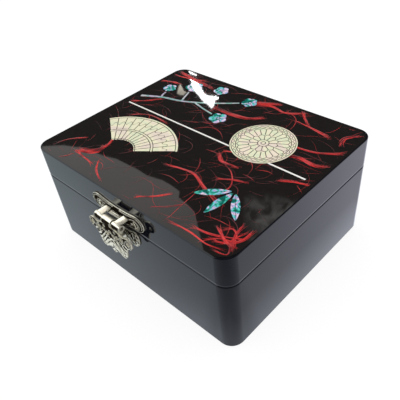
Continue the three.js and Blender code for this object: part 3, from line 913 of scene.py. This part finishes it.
@dataclass
class Case:
    """The lacquered walls of the base and the lid."""

    corner: float = 8.5 * MM
    corner_steps: int = 16
    rim_steps: int = 6
    wall: float = 7 * MM
    foot_round: float = 0.35 * MM
    foot_drop: float = 0.7 * MM
    rim_round: float = 0.8 * MM
    seam_round: float = 0.25 * MM
    seam_draft: float = 0.18 * MM
    seam_draft_height: float = 1.25 * MM
    top_round: float = 0.6 * MM
    paper_border: float = 0.75 * MM
    paper_recess: float = 0.2 * MM
    paper_lip: float = 0.01 * MM
    sharp: float = 40.0
    flatness: int = 80

    def round_rim(self, mesh: BMesh, up: int, radius: float) -> None:
        """Rounds the outer edge of the top (1) or the bottom (-1)."""
        bevel_edges(mesh, list(flat_face(mesh, up).edges), radius, self.rim_steps)

    def draw_in(self, mesh: BMesh) -> None:
        """Slants the lowest strip of the lid's sides a little inwards.

        Args:
            mesh: the lid's block.
        """
        face = flat_face(mesh, -1)
        level = face.verts[0].co.z
        bmesh.ops.inset_region(mesh, faces=[face], thickness=self.seam_draft)
        lowest = {vert for vert in mesh.verts if abs(vert.co.z - level) < SAME_PLACE}
        ring = list(lowest - set(face.verts))
        bmesh.ops.translate(mesh, verts=ring, vec=(0, 0, self.seam_draft_height))

    def sink(self, mesh: BMesh, up: int, border: float, depth: float) -> None:
        """Sinks the top or the bottom inside a border.

        Args:
            mesh: the block.
            up: which end is sunk: the top (1) or the bottom (-1).
            border: width left at the full height.
            depth: how far the rest goes in.
        """
        face = flat_face(mesh, up)
        bmesh.ops.inset_region(mesh, faces=[face], thickness=border)
        moved = bmesh.ops.extrude_face_region(mesh, geom=[face])["geom"]
        verts = [item for item in moved if isinstance(item, bmesh.types.BMVert)]
        bmesh.ops.translate(mesh, verts=verts, vec=(0, 0, -up * depth))
        bmesh.ops.delete(mesh, geom=[face], context="FACES_ONLY")

    def flatten(self, shell: Object, crease: float | None = None) -> None:
        """Makes the flat faces of a set of walls reflect flat.

        Args:
            shell: the walls.
            crease: height of edges that stay sharp however slight they are, or None.
        """
        shell.data.set_sharp_from_angle(angle=math.radians(self.sharp))
        for edge in shell.data.edges if crease is not None else ():
            heights = [shell.data.vertices[index].co.z for index in edge.vertices]
            if max(abs(height - crease) for height in heights) < SAME_PLACE:
                edge.use_edge_sharp = True
        normals = shell.modifiers.new("normals", "WEIGHTED_NORMAL")
        normals.mode = "FACE_AREA"
        normals.weight = self.flatness
        normals.keep_sharp = True

    def build_base(self, shop: Workshop) -> None:
        """Builds the walls of the base.

        Args:
            shop: the workshop.
        """
        low, high = corners("base_walls")
        walls = rounded_block(low - Vector((0, 0, self.foot_drop)), high, self.corner, self.corner_steps)
        self.round_rim(walls, -1, self.foot_round)
        self.round_rim(walls, 1, self.rim_round)
        floor = corners("bottom_panel")[1].z
        self.sink(walls, 1, self.wall - self.rim_round, high.z - floor)
        self.flatten(shop.piece("base_shell", walls, LACQUER, Body.BASE, ("base_walls", "bottom_panel")))

    def build_lid(self, shop: Workshop) -> None:
        """Builds the walls and the top of the lid.

        Args:
            shop: the workshop.
        """
        low, high = corners("lid_walls")
        high.z = corners("paper_sheet")[1].z + self.paper_lip
        walls = rounded_block(low, high, self.corner, self.corner_steps)
        self.draw_in(walls)
        self.round_rim(walls, -1, self.seam_round)
        self.round_rim(walls, 1, self.top_round)
        rim = self.wall - self.seam_draft - self.seam_round
        self.sink(walls, -1, rim, corners("lid_board")[0].z - low.z)
        self.sink(walls, 1, self.paper_border - self.top_round, self.paper_recess)
        shell = shop.piece("lid_shell", walls, LACQUER, Body.LID, ("lid_walls", "lid_board"))
        self.flatten(shell, low.z + self.seam_draft_height)


@dataclass(frozen=True)
class Strand:
    """One main bundle of red fibres: its width and its route across the lid, in millimetres."""

    width: float
    route: tuple


MAIN_STRANDS = (
    Strand(1.6, ((2, -30), (12, -27), (22, -26), (34, -31), (48, -37))),
    Strand(2.0, ((-55, -23), (-47, -27), (-42, -38), (-45, -46), (-53, -51))),
    Strand(0.9, ((-53, -53), (-44, -54), (-33, -55))),
    Strand(0.9, ((-34, -50), (-27, -57), (-17, -62))),
    Strand(1.1, ((10, -59), (18, -53), (25, -45))),
    Strand(0.7, ((22, -60), (29, -55), (35, -48))),
    Strand(1.0, ((38, -61), (52, -60), (64, -61), (75, -58))),
    Strand(1.2, ((70, -40), (71, -48), (76, -56))),
    Strand(1.2, ((50, -57), (62, -55), (77, -48))),
    Strand(1.4, ((60, -49), (70, -54), (77, -55))),
    Strand(1.0, ((76, -40), (75, -50), (66, -58))),
    Strand(0.8, ((63, -51), (67, -46), (72, -49), (70, -56), (63, -57))),
    Strand(0.7, ((74, -43), (72, -52), (76, -60), (68, -62))),
    Strand(0.7, ((60, -61), (66, -55), (73, -53), (77, -58))),
    Strand(2.1, ((34, 9), (45, 15), (58, 20), (70, 19), (78, 24))),
    Strand(1.3, ((32, 23), (46, 27), (62, 29), (72, 34), (78, 39))),
    Strand(0.9, ((36, 51), (50, 49), (62, 47))),
    Strand(1.3, ((32, 63), (36, 59), (41, 54), (46, 50))),
    Strand(1.6, ((71, 43), (70, 51), (76, 59))),
    Strand(1.7, ((62, -3), (70, 1), (78, 3))),
    Strand(2.4, ((-76, 59), (-60, 56), (-38, 53))),
    Strand(1.4, ((-77, 53), (-62, 55), (-48, 59))),
    Strand(2.6, ((-5, 50), (4, 56), (16, 62))),
    Strand(1.8, ((0, 52), (12, 57), (24, 55), (35, 61))),
    Strand(2.6, ((-20, 35), (-6, 34), (8, 36), (17, 42))),
    Strand(1.2, ((-78, 41), (-70, 44), (-62, 45))),
    Strand(1.4, ((-73, 8), (-64, 14), (-56, 22))),
    Strand(0.6, ((44, -33), (45, -22), (38, -13), (28, -8), (18, -2))),
    Strand(1.5, ((20, -3), (26, -8), (38, -7))),
    Strand(0.8, ((20, 0), (26, 3), (30, 8))),
    Strand(0.8, ((34, -22), (43, -17), (51, -14))),
    Strand(0.7, ((-60, -40), (-68, -48), (-72, -58))),
    Strand(0.7, ((-30, 2), (-48, 2), (-60, -6))),
    Strand(2.2, ((-54, -53), (-47, -50), (-42, -47), (-42, -42), (-42, -38))),
    Strand(1.2, ((-53, -51), (-46, -49), (-43, -45), (-43, -39))),
    Strand(0.3, ((-59, -65), (-54, -60), (-52, -55))),
)


@dataclass(frozen=True)
class Tier:
    """Fibres that lie at one depth: their finish and how often they occur in a bundle and alone."""

    name: str
    finish: FibreFinish
    in_bundle: float
    alone: float


@dataclass(frozen=True)
class Stray:
    """How a loose fibre wanders, pace by pace.

    Its heading has a mean and a spread, in radians. Its bend drifts at each pace and recovers a little.
    """

    heading: tuple = (0.45, 0.8)
    bend: float = 0.08
    drift: float = 0.03
    recovery: float = 0.04
    paces: tuple = (5, 26)
    pace: float = 1.3 * MM
    widths: tuple = (0.5, 0.7, 1.0, 1.5)

    def walk(self, rng: random.Random, low: Vector, high: Vector) -> list[Vector]:
        """Walks one loose fibre across the paper.

        Args:
            rng: the source of chance.
            low: lowest corner of the paper.
            high: highest corner of the paper.

        Returns:
            The fibre's points.
        """
        point = Vector((rng.uniform(low.x, high.x), rng.uniform(low.y, high.y), 0))
        heading = rng.gauss(*self.heading)
        bend = rng.gauss(0, self.bend)
        points = [point.copy()]
        for _ in range(rng.randint(*self.paces)):
            bend += rng.gauss(0, self.drift) - self.recovery * bend
            heading += bend
            point += Vector((math.cos(heading), math.sin(heading), 0)) * self.pace
            points.append(point.copy())
        return points


@dataclass(frozen=True)
class Thread:
    """How one thread runs in a bundle.

    It starts and ends somewhere between shares of the bundle's length. It lies to a side and leans by
    shares of the bundle's width, weaves through some radians, and frays further out at both ends.
    """

    starts: tuple = (-0.08, 0.4)
    ends: tuple = (0.6, 1.08)
    side: float = 0.3
    lean: float = 0.5
    fray: float = 0.8 * MM
    weave: tuple = (1.5, 4.0)
    steps: int = 18
    widths: tuple = (0.8, 1.2, 1.8, 2.4)

    @staticmethod
    def eased_route(route: list[Vector], place: float) -> Vector:
        """Finds a point of the smooth curve through a route.

        Args:
            route: the points that the curve runs through.
            place: how far along it is, in points.

        Returns:
            The point.
        """
        leg = min(int(place), len(route) - 2)
        share = place - leg
        first, second = route[leg], route[leg + 1]
        bend_first = (second - route[max(leg - 1, 0)]) / 2
        bend_second = (route[min(leg + 2, len(route) - 1)] - first) / 2
        square, cube = share * share, share * share * share
        return (
            first * (2 * cube - 3 * square + 1) + bend_first * (cube - 2 * square + share)
            + second * (3 * square - 2 * cube) + bend_second * (cube - square)
        )

    def run(self, rng: random.Random, strand: Strand) -> list[Vector]:
        """Runs one thread roughly along a main strand.

        Args:
            rng: the source of chance.
            strand: the bundle that the thread belongs to.

        Returns:
            The thread's points.
        """
        route = [Vector((x * MM, y * MM, 0)) for x, y in strand.route]
        start = rng.uniform(*self.starts)
        end = rng.uniform(*self.ends)
        side = rng.gauss(0, self.side) * strand.width * MM
        lean = rng.gauss(0, self.lean) * strand.width * MM
        fray = rng.gauss(0, self.fray)
        weave = rng.uniform(*self.weave)
        phase = rng.uniform(0, math.tau)
        points = []
        for index in range(self.steps + 1):
            share = start + (end - start) * index / self.steps
            on_route = min(max(share, 0.0), 1.0)
            place = on_route * (len(route) - 1)
            leg = min(int(place), len(route) - 2)
            along = route[leg + 1] - route[leg]
            base = self.eased_route(route, place) + along * ((share - on_route) * (len(route) - 1))
            across = Vector((-along.y, along.x, 0)).normalized()
            waver = side * math.cos(phase + weave * share) + lean * (share - 0.5)
            points.append(base + across * (waver + fray * abs(2 * share - 1) ** 3))
        return points


@dataclass
class Paper:
    """The fibres in the paper on the lid: loose ones, and threads in bundles."""

    seed: int = 7
    strays: int = 250
    stray: Stray = Stray()
    threads_per_width: int = 19
    least_threads: int = 4
    thread: Thread = Thread()
    margin: float = 1.5 * MM
    radius: float = 0.12 * MM
    tip: float = 0.15
    overhang: float = 0.3
    least_points: int = 4
    depths: tuple = (0.008 * MM, 0.035 * MM)
    flatness: float = 0.02
    tiers: tuple = (
        Tier("fibres_deep", DEEP_FIBRE, 0.12, 0.55),
        Tier("fibres_soft", SOFT_FIBRE, 0.28, 0.3),
        Tier("fibres_bright", BRIGHT_FIBRE, 0.6, 0.15),
    )

    def inside(self, point: Vector, low: Vector, high: Vector) -> bool:
        """Returns whether a point lies on the paper, clear of its edge."""
        in_x = low.x + self.margin < point.x < high.x - self.margin
        return in_x and low.y + self.margin < point.y < high.y - self.margin

    def tier_mesh(self, rng: random.Random, routes: list, low: Vector, high: Vector) -> BMesh:
        """Turns routes into flattened threads.

        Args:
            rng: the source of chance.
            routes: pairs of a thread's points and its width.
            low: lowest corner of the paper.
            high: highest corner of the paper.

        Returns:
            The threads' bmesh.
        """
        curve = bpy.data.curves.new("fibres", "CURVE")
        curve.dimensions = "3D"
        curve.bevel_depth = self.radius
        curve.bevel_resolution = 0
        curve.use_fill_caps = True
        for route, width in routes:
            points = [point for point in route if self.inside(point, low, high)]
            level = rng.uniform(*self.depths) / self.flatness
            if len(points) < self.least_points:
                continue
            spline = curve.splines.new("POLY")
            spline.points.add(len(points) - 1)
            length = len(points) - 1 + 2 * self.overhang
            for index, point in enumerate(points):
                taper = math.sin(math.pi * (index + self.overhang) / length)
                spline.points[index].co = (point.x, point.y, level, 1.0)
                spline.points[index].radius = width * max(taper, self.tip)
        carrier = bpy.data.objects.new("fibre_curve", curve)
        bpy.context.scene.collection.objects.link(carrier)
        mesh = bmesh.new()
        mesh.from_mesh(carrier.evaluated_get(bpy.context.evaluated_depsgraph_get()).to_mesh())
        bpy.data.objects.remove(carrier)
        settle = Matrix.Translation((0, 0, high.z)) @ Matrix.Diagonal((1, 1, self.flatness, 1))
        bmesh.ops.transform(mesh, matrix=settle, verts=mesh.verts)
        return mesh

    def build(self, shop: Workshop) -> None:
        """Builds the fibres, one piece for each depth.

        Args:
            shop: the workshop.
        """
        low, high = corners("paper_sheet")
        rng = random.Random(self.seed)
        routes = {tier.name: [] for tier in self.tiers}
        names = list(routes)
        alone = [tier.alone for tier in self.tiers]
        bundled = [tier.in_bundle for tier in self.tiers]
        for _ in range(self.strays):
            name = rng.choices(names, alone)[0]
            routes[name].append((self.stray.walk(rng, low, high), rng.choice(self.stray.widths)))
        for strand in MAIN_STRANDS:
            for _ in range(int(self.threads_per_width * strand.width) + self.least_threads):
                name = rng.choices(names, bundled)[0]
                routes[name].append((self.thread.run(rng, strand), rng.choice(self.thread.widths)))
        for tier in self.tiers:
            mesh = self.tier_mesh(rng, routes[tier.name], low, high)
            shop.piece(tier.name, mesh, tier.finish, Body.LID)
        shop.dress("paper_sheet", PAPER)


@dataclass
class Lining:
    """Velvet linings, dividers, pads and ring rolls."""

    boards: tuple = ("divider_long", "divider_back_left", "divider_back_right", "divider_front", "ring_bed")
    liners: tuple = (("base_liner", Body.BASE), ("lid_liner", Body.LID), ("mirror_board", Body.LID))
    pads: tuple = ("pad_back_left", "pad_back_middle", "pad_back_right", "pad_front_right")
    rolls: tuple = ("ring_roll_1", "ring_roll_2", "ring_roll_3", "ring_roll_4", "ring_roll_5")
    fold: float = 0.6 * MM
    sharp: float = 50.0

    def cushion(self, shop: Workshop, node: str) -> None:
        """Rounds a CAD pad or roll into a soft piece.

        Args:
            shop: the workshop.
            node: the CAD node.
        """
        obj = shop.piece(f"soft_{node}", node_mesh(node), VELVET, Body.BASE, (node,))
        smooth = obj.modifiers.new("smooth", "SUBSURF")
        smooth.levels = smooth.render_levels = 2

    def build(self, shop: Workshop) -> None:
        """Dresses the linings and builds the soft pieces.

        Args:
            shop: the workshop.
        """
        for node in self.boards:
            shop.eased(f"velvet_{node}", node, VELVET, Body.BASE, self.fold, self.sharp)
        for node, body in self.liners:
            shop.eased(f"velvet_{node}", node, VELVET, body, self.fold / 2, self.sharp)
        for node in self.pads + self.rolls:
            self.cushion(shop, node)
        shop.dress("base_felt", FELT)
        shop.dress("mirror_glass", GLASS)


@dataclass
class Fittings:
    """Brass hinges, latch, nails and mirror frame."""

    prefixes: tuple = ("hinge_", "latch_", "mirror_frame")
    chased: tuple = ("latch_lid_plate", "latch_base_plate", "latch_hasp")
    easing: float = 0.16 * MM
    sharp: float = 38.0

    def body(self, node: str) -> Body:
        """Returns the body that a brass node belongs to."""
        bodies = frame["record"]["behaviour"]["bodies"]
        return next((Body(name) for name, members in bodies.items() if node in members), Body.BASE)

    def build(self, shop: Workshop) -> None:
        """Makes each brass piece from its node.

        Args:
            shop: the workshop.
        """
        for node in list(frame["nodes"]):
            if node.startswith(self.prefixes):
                finish = CHASED_BRASS if node in self.chased else BRASS
                shop.eased(f"brass_{node}", node, finish, self.body(node), self.easing, self.sharp)


@dataclass
class Inlay:
    """The shell pieces let into the paper."""

    proud: float = 0.06 * MM
    fan_half_angle: float = 0.3 * math.pi

    def piece(self, shop: Workshop, node: str, finish: Finish, turn: Matrix) -> None:
        """Raises one shell piece just above the fibres and gives it its own measure.

        Args:
            shop: the workshop.
            node: the CAD node that it stands for.
            finish: its finish.
            turn: takes a point to the piece's own coordinates.
        """
        mesh = node_mesh(node)
        chart = mesh.loops.layers.uv.new(LOCAL_MAP)
        for face in mesh.faces:
            for loop in face.loops:
                loop[chart].uv = (turn @ loop.vert.co).xy
        bmesh.ops.translate(mesh, verts=mesh.verts, vec=(0, 0, self.proud))
        shop.piece(f"shell_{node}", mesh, finish, Body.LID, (node,)).data.shade_flat()

    def middle_turn(self, node: str) -> Matrix:
        """Puts a piece's middle at 0 and its reach at 1.

        Args:
            node: the CAD node.

        Returns:
            The matrix that does so.
        """
        low, high = corners(node)
        reach = max((high - low).xy) / 2
        return Matrix.Scale(1 / reach, 4) @ Matrix.Translation(-(low + high) / 2)

    def leaf_turn(self, node: str) -> Matrix:
        """Lays a leaf along its first coordinate, with its ends at -1 and 1.

        Args:
            node: the CAD node.

        Returns:
            The matrix that does so.
        """
        points = [vert.co.copy() for vert in frame["nodes"][node].data.vertices]
        middle = sum(corners(node), Vector()) / 2
        tip = max(points, key=lambda point: (point - middle).xy.length)
        tail = max(points, key=lambda point: (point - tip).xy.length)
        along = (tip - tail).xy
        level = Matrix.Rotation(-math.atan2(along.y, along.x), 4, "Z")
        return Matrix.Scale(2 / along.length, 4) @ level @ Matrix.Translation(-(tip + tail) / 2)

    def fan_turn(self, node: str) -> Matrix:
        """Puts the fan's pivot at 0 and its reach at 1.

        Args:
            node: the CAD node.

        Returns:
            The matrix that does so.
        """
        low, high = corners(node)
        reach = (high.x - low.x) / 2 / math.sin(self.fan_half_angle)
        pivot = Vector(((low.x + high.x) / 2, high.y - reach, high.z))
        return Matrix.Scale(1 / reach, 4) @ Matrix.Translation(-pivot)

    def build(self, shop: Workshop) -> None:
        """Builds every shell piece.

        Args:
            shop: the workshop.
        """
        looks = {
            "inlay_medallion": (MEDALLION, self.middle_turn),
            "inlay_fan": (FAN, self.fan_turn),
            "inlay_branch": (BRANCH, self.middle_turn),
            "inlay_blossom": (BLOSSOM, self.middle_turn),
            "inlay_horizon": (LINE, self.middle_turn),
            "inlay_leaf": (LEAF, self.leaf_turn),
        }
        for start, (finish, turn) in looks.items():
            for node in list(frame["nodes"]):
                if node.startswith(start):
                    self.piece(shop, node, finish, turn(node))


@dataclass(frozen=True)
class Pane:
    """A bright shape that only reflections see, outlined by azimuth and elevation in degrees.

    Its brightness varies over it like clouds of a given scale, and it fades out over a share of its width.
    """

    name: str
    outline: tuple
    dim: tuple
    bright: tuple
    cloud: float = 0.2
    fade: float = 0.0


PANES = (
    Pane("window_glint", (
        (137.9, 25.9), (137.5, 26.4), (137.7, 26.6), (137.5, 27.0), (137.4, 27.3), (137.1, 27.7),
        (136.8, 28.0), (136.6, 28.4), (136.2, 28.8), (135.8, 29.1), (135.3, 29.6), (135.0, 29.5),
        (135.4, 28.9), (135.4, 28.6), (134.7, 28.7), (134.2, 28.6), (134.2, 28.4), (135.2, 28.2),
        (135.7, 28.1), (136.1, 27.8), (136.3, 27.4), (136.5, 27.1), (136.8, 26.9), (136.7, 26.6),
        (137.1, 26.3), (137.6, 25.9),
    ), grey(20.0), grey(26.0)),
    Pane("window_sliver", (
        (137.9, 25.1), (137.7, 25.1), (136.8, 25.6), (136.9, 25.7), (137.6, 25.4),
    ), grey(16.0), grey(22.0)),
    Pane("window_haze", (
        (139.1, 26.3), (138.9, 26.8), (138.7, 27.3), (138.3, 27.5), (138.9, 27.8), (139.4, 27.7),
        (139.8, 27.5), (139.6, 27.0), (139.4, 26.6),
    ), linear(2.2, 1.95, 1.6), linear(5.6, 5.2, 4.4), 1.6, 0.3),
    Pane("upper_wall", (
        (156.2, 30.6), (153.9, 31.5), (151.2, 33.1), (149.8, 33.7), (147.3, 35.4), (145.9, 36.5),
        (143.8, 37.4), (142.6, 38.2), (141.5, 39.1), (141.8, 39.8), (140.5, 40.9), (139.6, 41.9),
        (139.5, 42.8), (138.5, 50.0), (148.0, 58.0), (176.0, 58.0), (176.0, 27.0), (170.0, 27.0),
    ), linear(1.1, 1.03, 1.0), linear(0.9, 0.9, 0.86)),
    Pane("front_wall", (
        (176.0, 24.0), (176.0, 58.0), (212.0, 58.0), (245.0, 50.0), (245.0, 24.0),
    ), linear(1.5, 1.55, 1.6), linear(1.9, 1.95, 2.0)),
    Pane("front_skirt", (
        (176.0, -6.0), (176.0, 24.0), (245.0, 24.0), (245.0, -6.0),
    ), linear(0.6, 0.62, 0.64), linear(0.9, 0.92, 0.95)),
    Pane("low_wall", (
        (162.0, 0.0), (162.0, 27.0), (176.0, 27.0), (176.0, 0.0),
    ), linear(0.6, 0.6, 0.62), linear(0.9, 0.9, 0.92)),
    Pane("right_haze", (
        (131.5, 40.5), (130.4, 40.1), (128.5, 40.0), (125.6, 40.4), (122.6, 40.6), (121.3, 41.2),
        (123.6, 42.9), (126.5, 45.0), (129.5, 47.1), (131.1, 47.3), (131.4, 45.8), (131.8, 44.1),
        (131.8, 42.3),
    ), grey(0.12), linear(0.95, 0.97, 0.95), 2.0, 0.4),
)


@dataclass
class Studio:
    """Camera, floor and light.

    Levels are pairs of a distance in metres, or a share of the height, and the light that a glossy surface
    sees there. Sides are pairs of places in metres, and what lies between them changes from one to the other.
    The floor is brighter within the two reaches of the box.
    """

    right: tuple = (0.7307, 0.6776, -0.0826)
    up: tuple = (-0.4044, 0.5271, 0.7474)
    behind: tuple = (0.5499, -0.5127, 0.6593)
    place: tuple = (0.1794, -0.1638, 0.2278)
    nearest: float = 0.01
    focal_px: float = 472.852
    centre_px: tuple = (210.038, 207.234)
    image_px: float = 400.0
    sensor: float = 36.0
    floor_half: float = 3.0
    floor_paint: tuple = grey(0.2)
    floor_glow: float = 0.85
    floor_levels: tuple = (
        (0.06, 0.2), (0.09, 0.28), (0.135, 0.42), (0.15, 0.46), (0.158, 0.59), (0.31, 0.93), (0.4, 1.0),
    )
    side: tuple = (-0.25, 0.25)
    left_strength: float = 0.78
    right_gain: float = 0.45
    left_tint: tuple = linear(0.84, 0.98, 1.04)
    right_tint: tuple = linear(0.99, 0.98, 1.14)
    right_side: tuple = (-0.06, 0.02)
    near_reach: float = 0.015
    near_gain: float = 0.6
    wide_reach: float = 0.045
    wide_gain: float = 0.08
    ceiling_levels: tuple = ((0.0, 0.6), (0.12, 0.3), (0.4, 0.05))
    pane_distance: float = 20.0

    def camera(self) -> None:
        """Sets the camera where the photograph was taken from."""
        data = bpy.data.cameras.new("camera")
        data.sensor_width = self.sensor
        data.lens = self.focal_px / self.image_px * self.sensor
        data.shift_x = (self.image_px / 2 - self.centre_px[0]) / self.image_px
        data.shift_y = (self.centre_px[1] - self.image_px / 2) / self.image_px
        data.clip_start = self.nearest
        camera = bpy.data.objects.new("camera", data)
        turn = Matrix((self.right, self.up, self.behind)).transposed().to_4x4()
        camera.matrix_world = Matrix.Translation(self.place) @ turn
        bpy.context.scene.collection.objects.link(camera)
        bpy.context.scene.camera = camera

    def floor(self) -> None:
        """Lays a wide white floor, which glossy surfaces see darker round the photographer's feet."""
        mesh = bmesh.new()
        bmesh.ops.create_grid(mesh, x_segments=1, y_segments=1, size=self.floor_half)
        material, graph = new_graph("floor")
        paint = graph.node("BsdfDiffuse", {"Color": self.floor_paint})
        seen = graph.node("AddShader", {0: paint, 1: graph.glow(grey(1.0), self.floor_glow)})
        x, y, _ = graph.place()
        away = (x - self.place[0]).hypot(y - self.place[1])
        shade = graph.greys(away, self.floor_levels, self.floor_levels[-1][0])
        side = (x + y).ramp(*self.side)
        tinted = graph.mix(1.0, shade, graph.mix(side, self.left_tint, self.right_tint), "MULTIPLY")
        beside = (x.size() - CAD_BOX[1][0]).either(y.size() - CAD_BOX[1][1])
        near = beside.ramp(self.near_reach, 0.0) * (x + y).ramp(*self.right_side) * self.near_gain
        wide = beside.ramp(self.wide_reach, 0.0) * self.wide_gain
        strength = (side * self.right_gain + self.left_strength) * (near + wide + 1.0)
        reflected = graph.glow(tinted, strength)
        graph.surface(graph.blend(graph.node("LightPath", output="Is Glossy Ray"), seen, reflected))
        placed("floor", mesh, material)

    def pane_mesh(self, pane: Pane) -> BMesh:
        """Makes a reflector's mesh, with the strength of each point kept in a layer.

        Args:
            pane: the reflector's shape.

        Returns:
            The mesh: a full-strength middle inside a rim that fades to nothing.
        """
        mesh = bmesh.new()
        strength = mesh.verts.layers.float.new(STRENGTH_LAYER)
        rim = []
        for azimuth, elevation in pane.outline:
            turn, rise = math.radians(azimuth), math.radians(elevation)
            level = math.cos(rise)
            away = Vector((math.cos(turn) * level, math.sin(turn) * level, math.sin(rise)))
            rim.append(mesh.verts.new(away * self.pane_distance))
        middle = sum((vert.co for vert in rim), Vector()) / len(rim)
        inner = [mesh.verts.new(vert.co.lerp(middle, pane.fade)) for vert in rim]
        for vert in inner:
            vert[strength] = 1.0
        mesh.faces.new(inner)
        bmesh.ops.triangulate(mesh, faces=mesh.faces)
        for index in range(len(rim) if pane.fade else 0):
            mesh.faces.new((rim[index - 1], rim[index], inner[index], inner[index - 1]))
        return mesh

    def hang(self, pane: Pane) -> None:
        """Hangs one reflector far away from the box.

        Args:
            pane: the reflector's shape.
        """
        material, graph = new_graph(pane.name)
        cloud = graph.noise(pane.cloud, twist=0.5).ramp(*NOISE_SPAN)
        strength = graph.node("Attribute", output="Fac", attribute_name=STRENGTH_LAYER)
        glow = graph.glow(graph.mix(cloud, pane.dim, pane.bright))
        graph.surface(graph.blend(strength, graph.node("BsdfTransparent"), glow))
        card = placed(pane.name, self.pane_mesh(pane), material)
        card.visible_camera = card.visible_diffuse = card.visible_shadow = False

    def world(self) -> None:
        """Surrounds the box with white, and with a dark ceiling for reflections."""
        world = bpy.data.worlds.new("studio")
        bpy.context.scene.world = world
        world.use_nodes = True
        graph = Graph(world.node_tree)
        height = graph.parts(graph.node("TexCoord", output="Generated"))[2]
        glossy = graph.node("LightPath", output="Is Glossy Ray")
        colour = graph.mix(glossy, grey(1.0), graph.greys(height, self.ceiling_levels))
        graph.node("OutputWorld", {"Surface": graph.node("Background", {"Color": colour, "Strength": 1.0})})

    def build(self) -> None:
        """Sets up the whole studio."""
        self.camera()
        self.floor()
        self.world()
        for pane in PANES:
            self.hang(pane)
        bpy.context.scene.view_settings.view_transform = "Standard"


def main() -> None:
    """Builds and dresses the box, then sets up the studio."""
    logging.basicConfig(level=logging.INFO)
    shop = Workshop()
    case = Case()
    case.build_base(shop)
    case.build_lid(shop)
    for assembly in (Paper(), Inlay(), Lining(), Fittings()):
        assembly.build(shop)
    Studio().build()


if __name__ == "__main__":
    main()
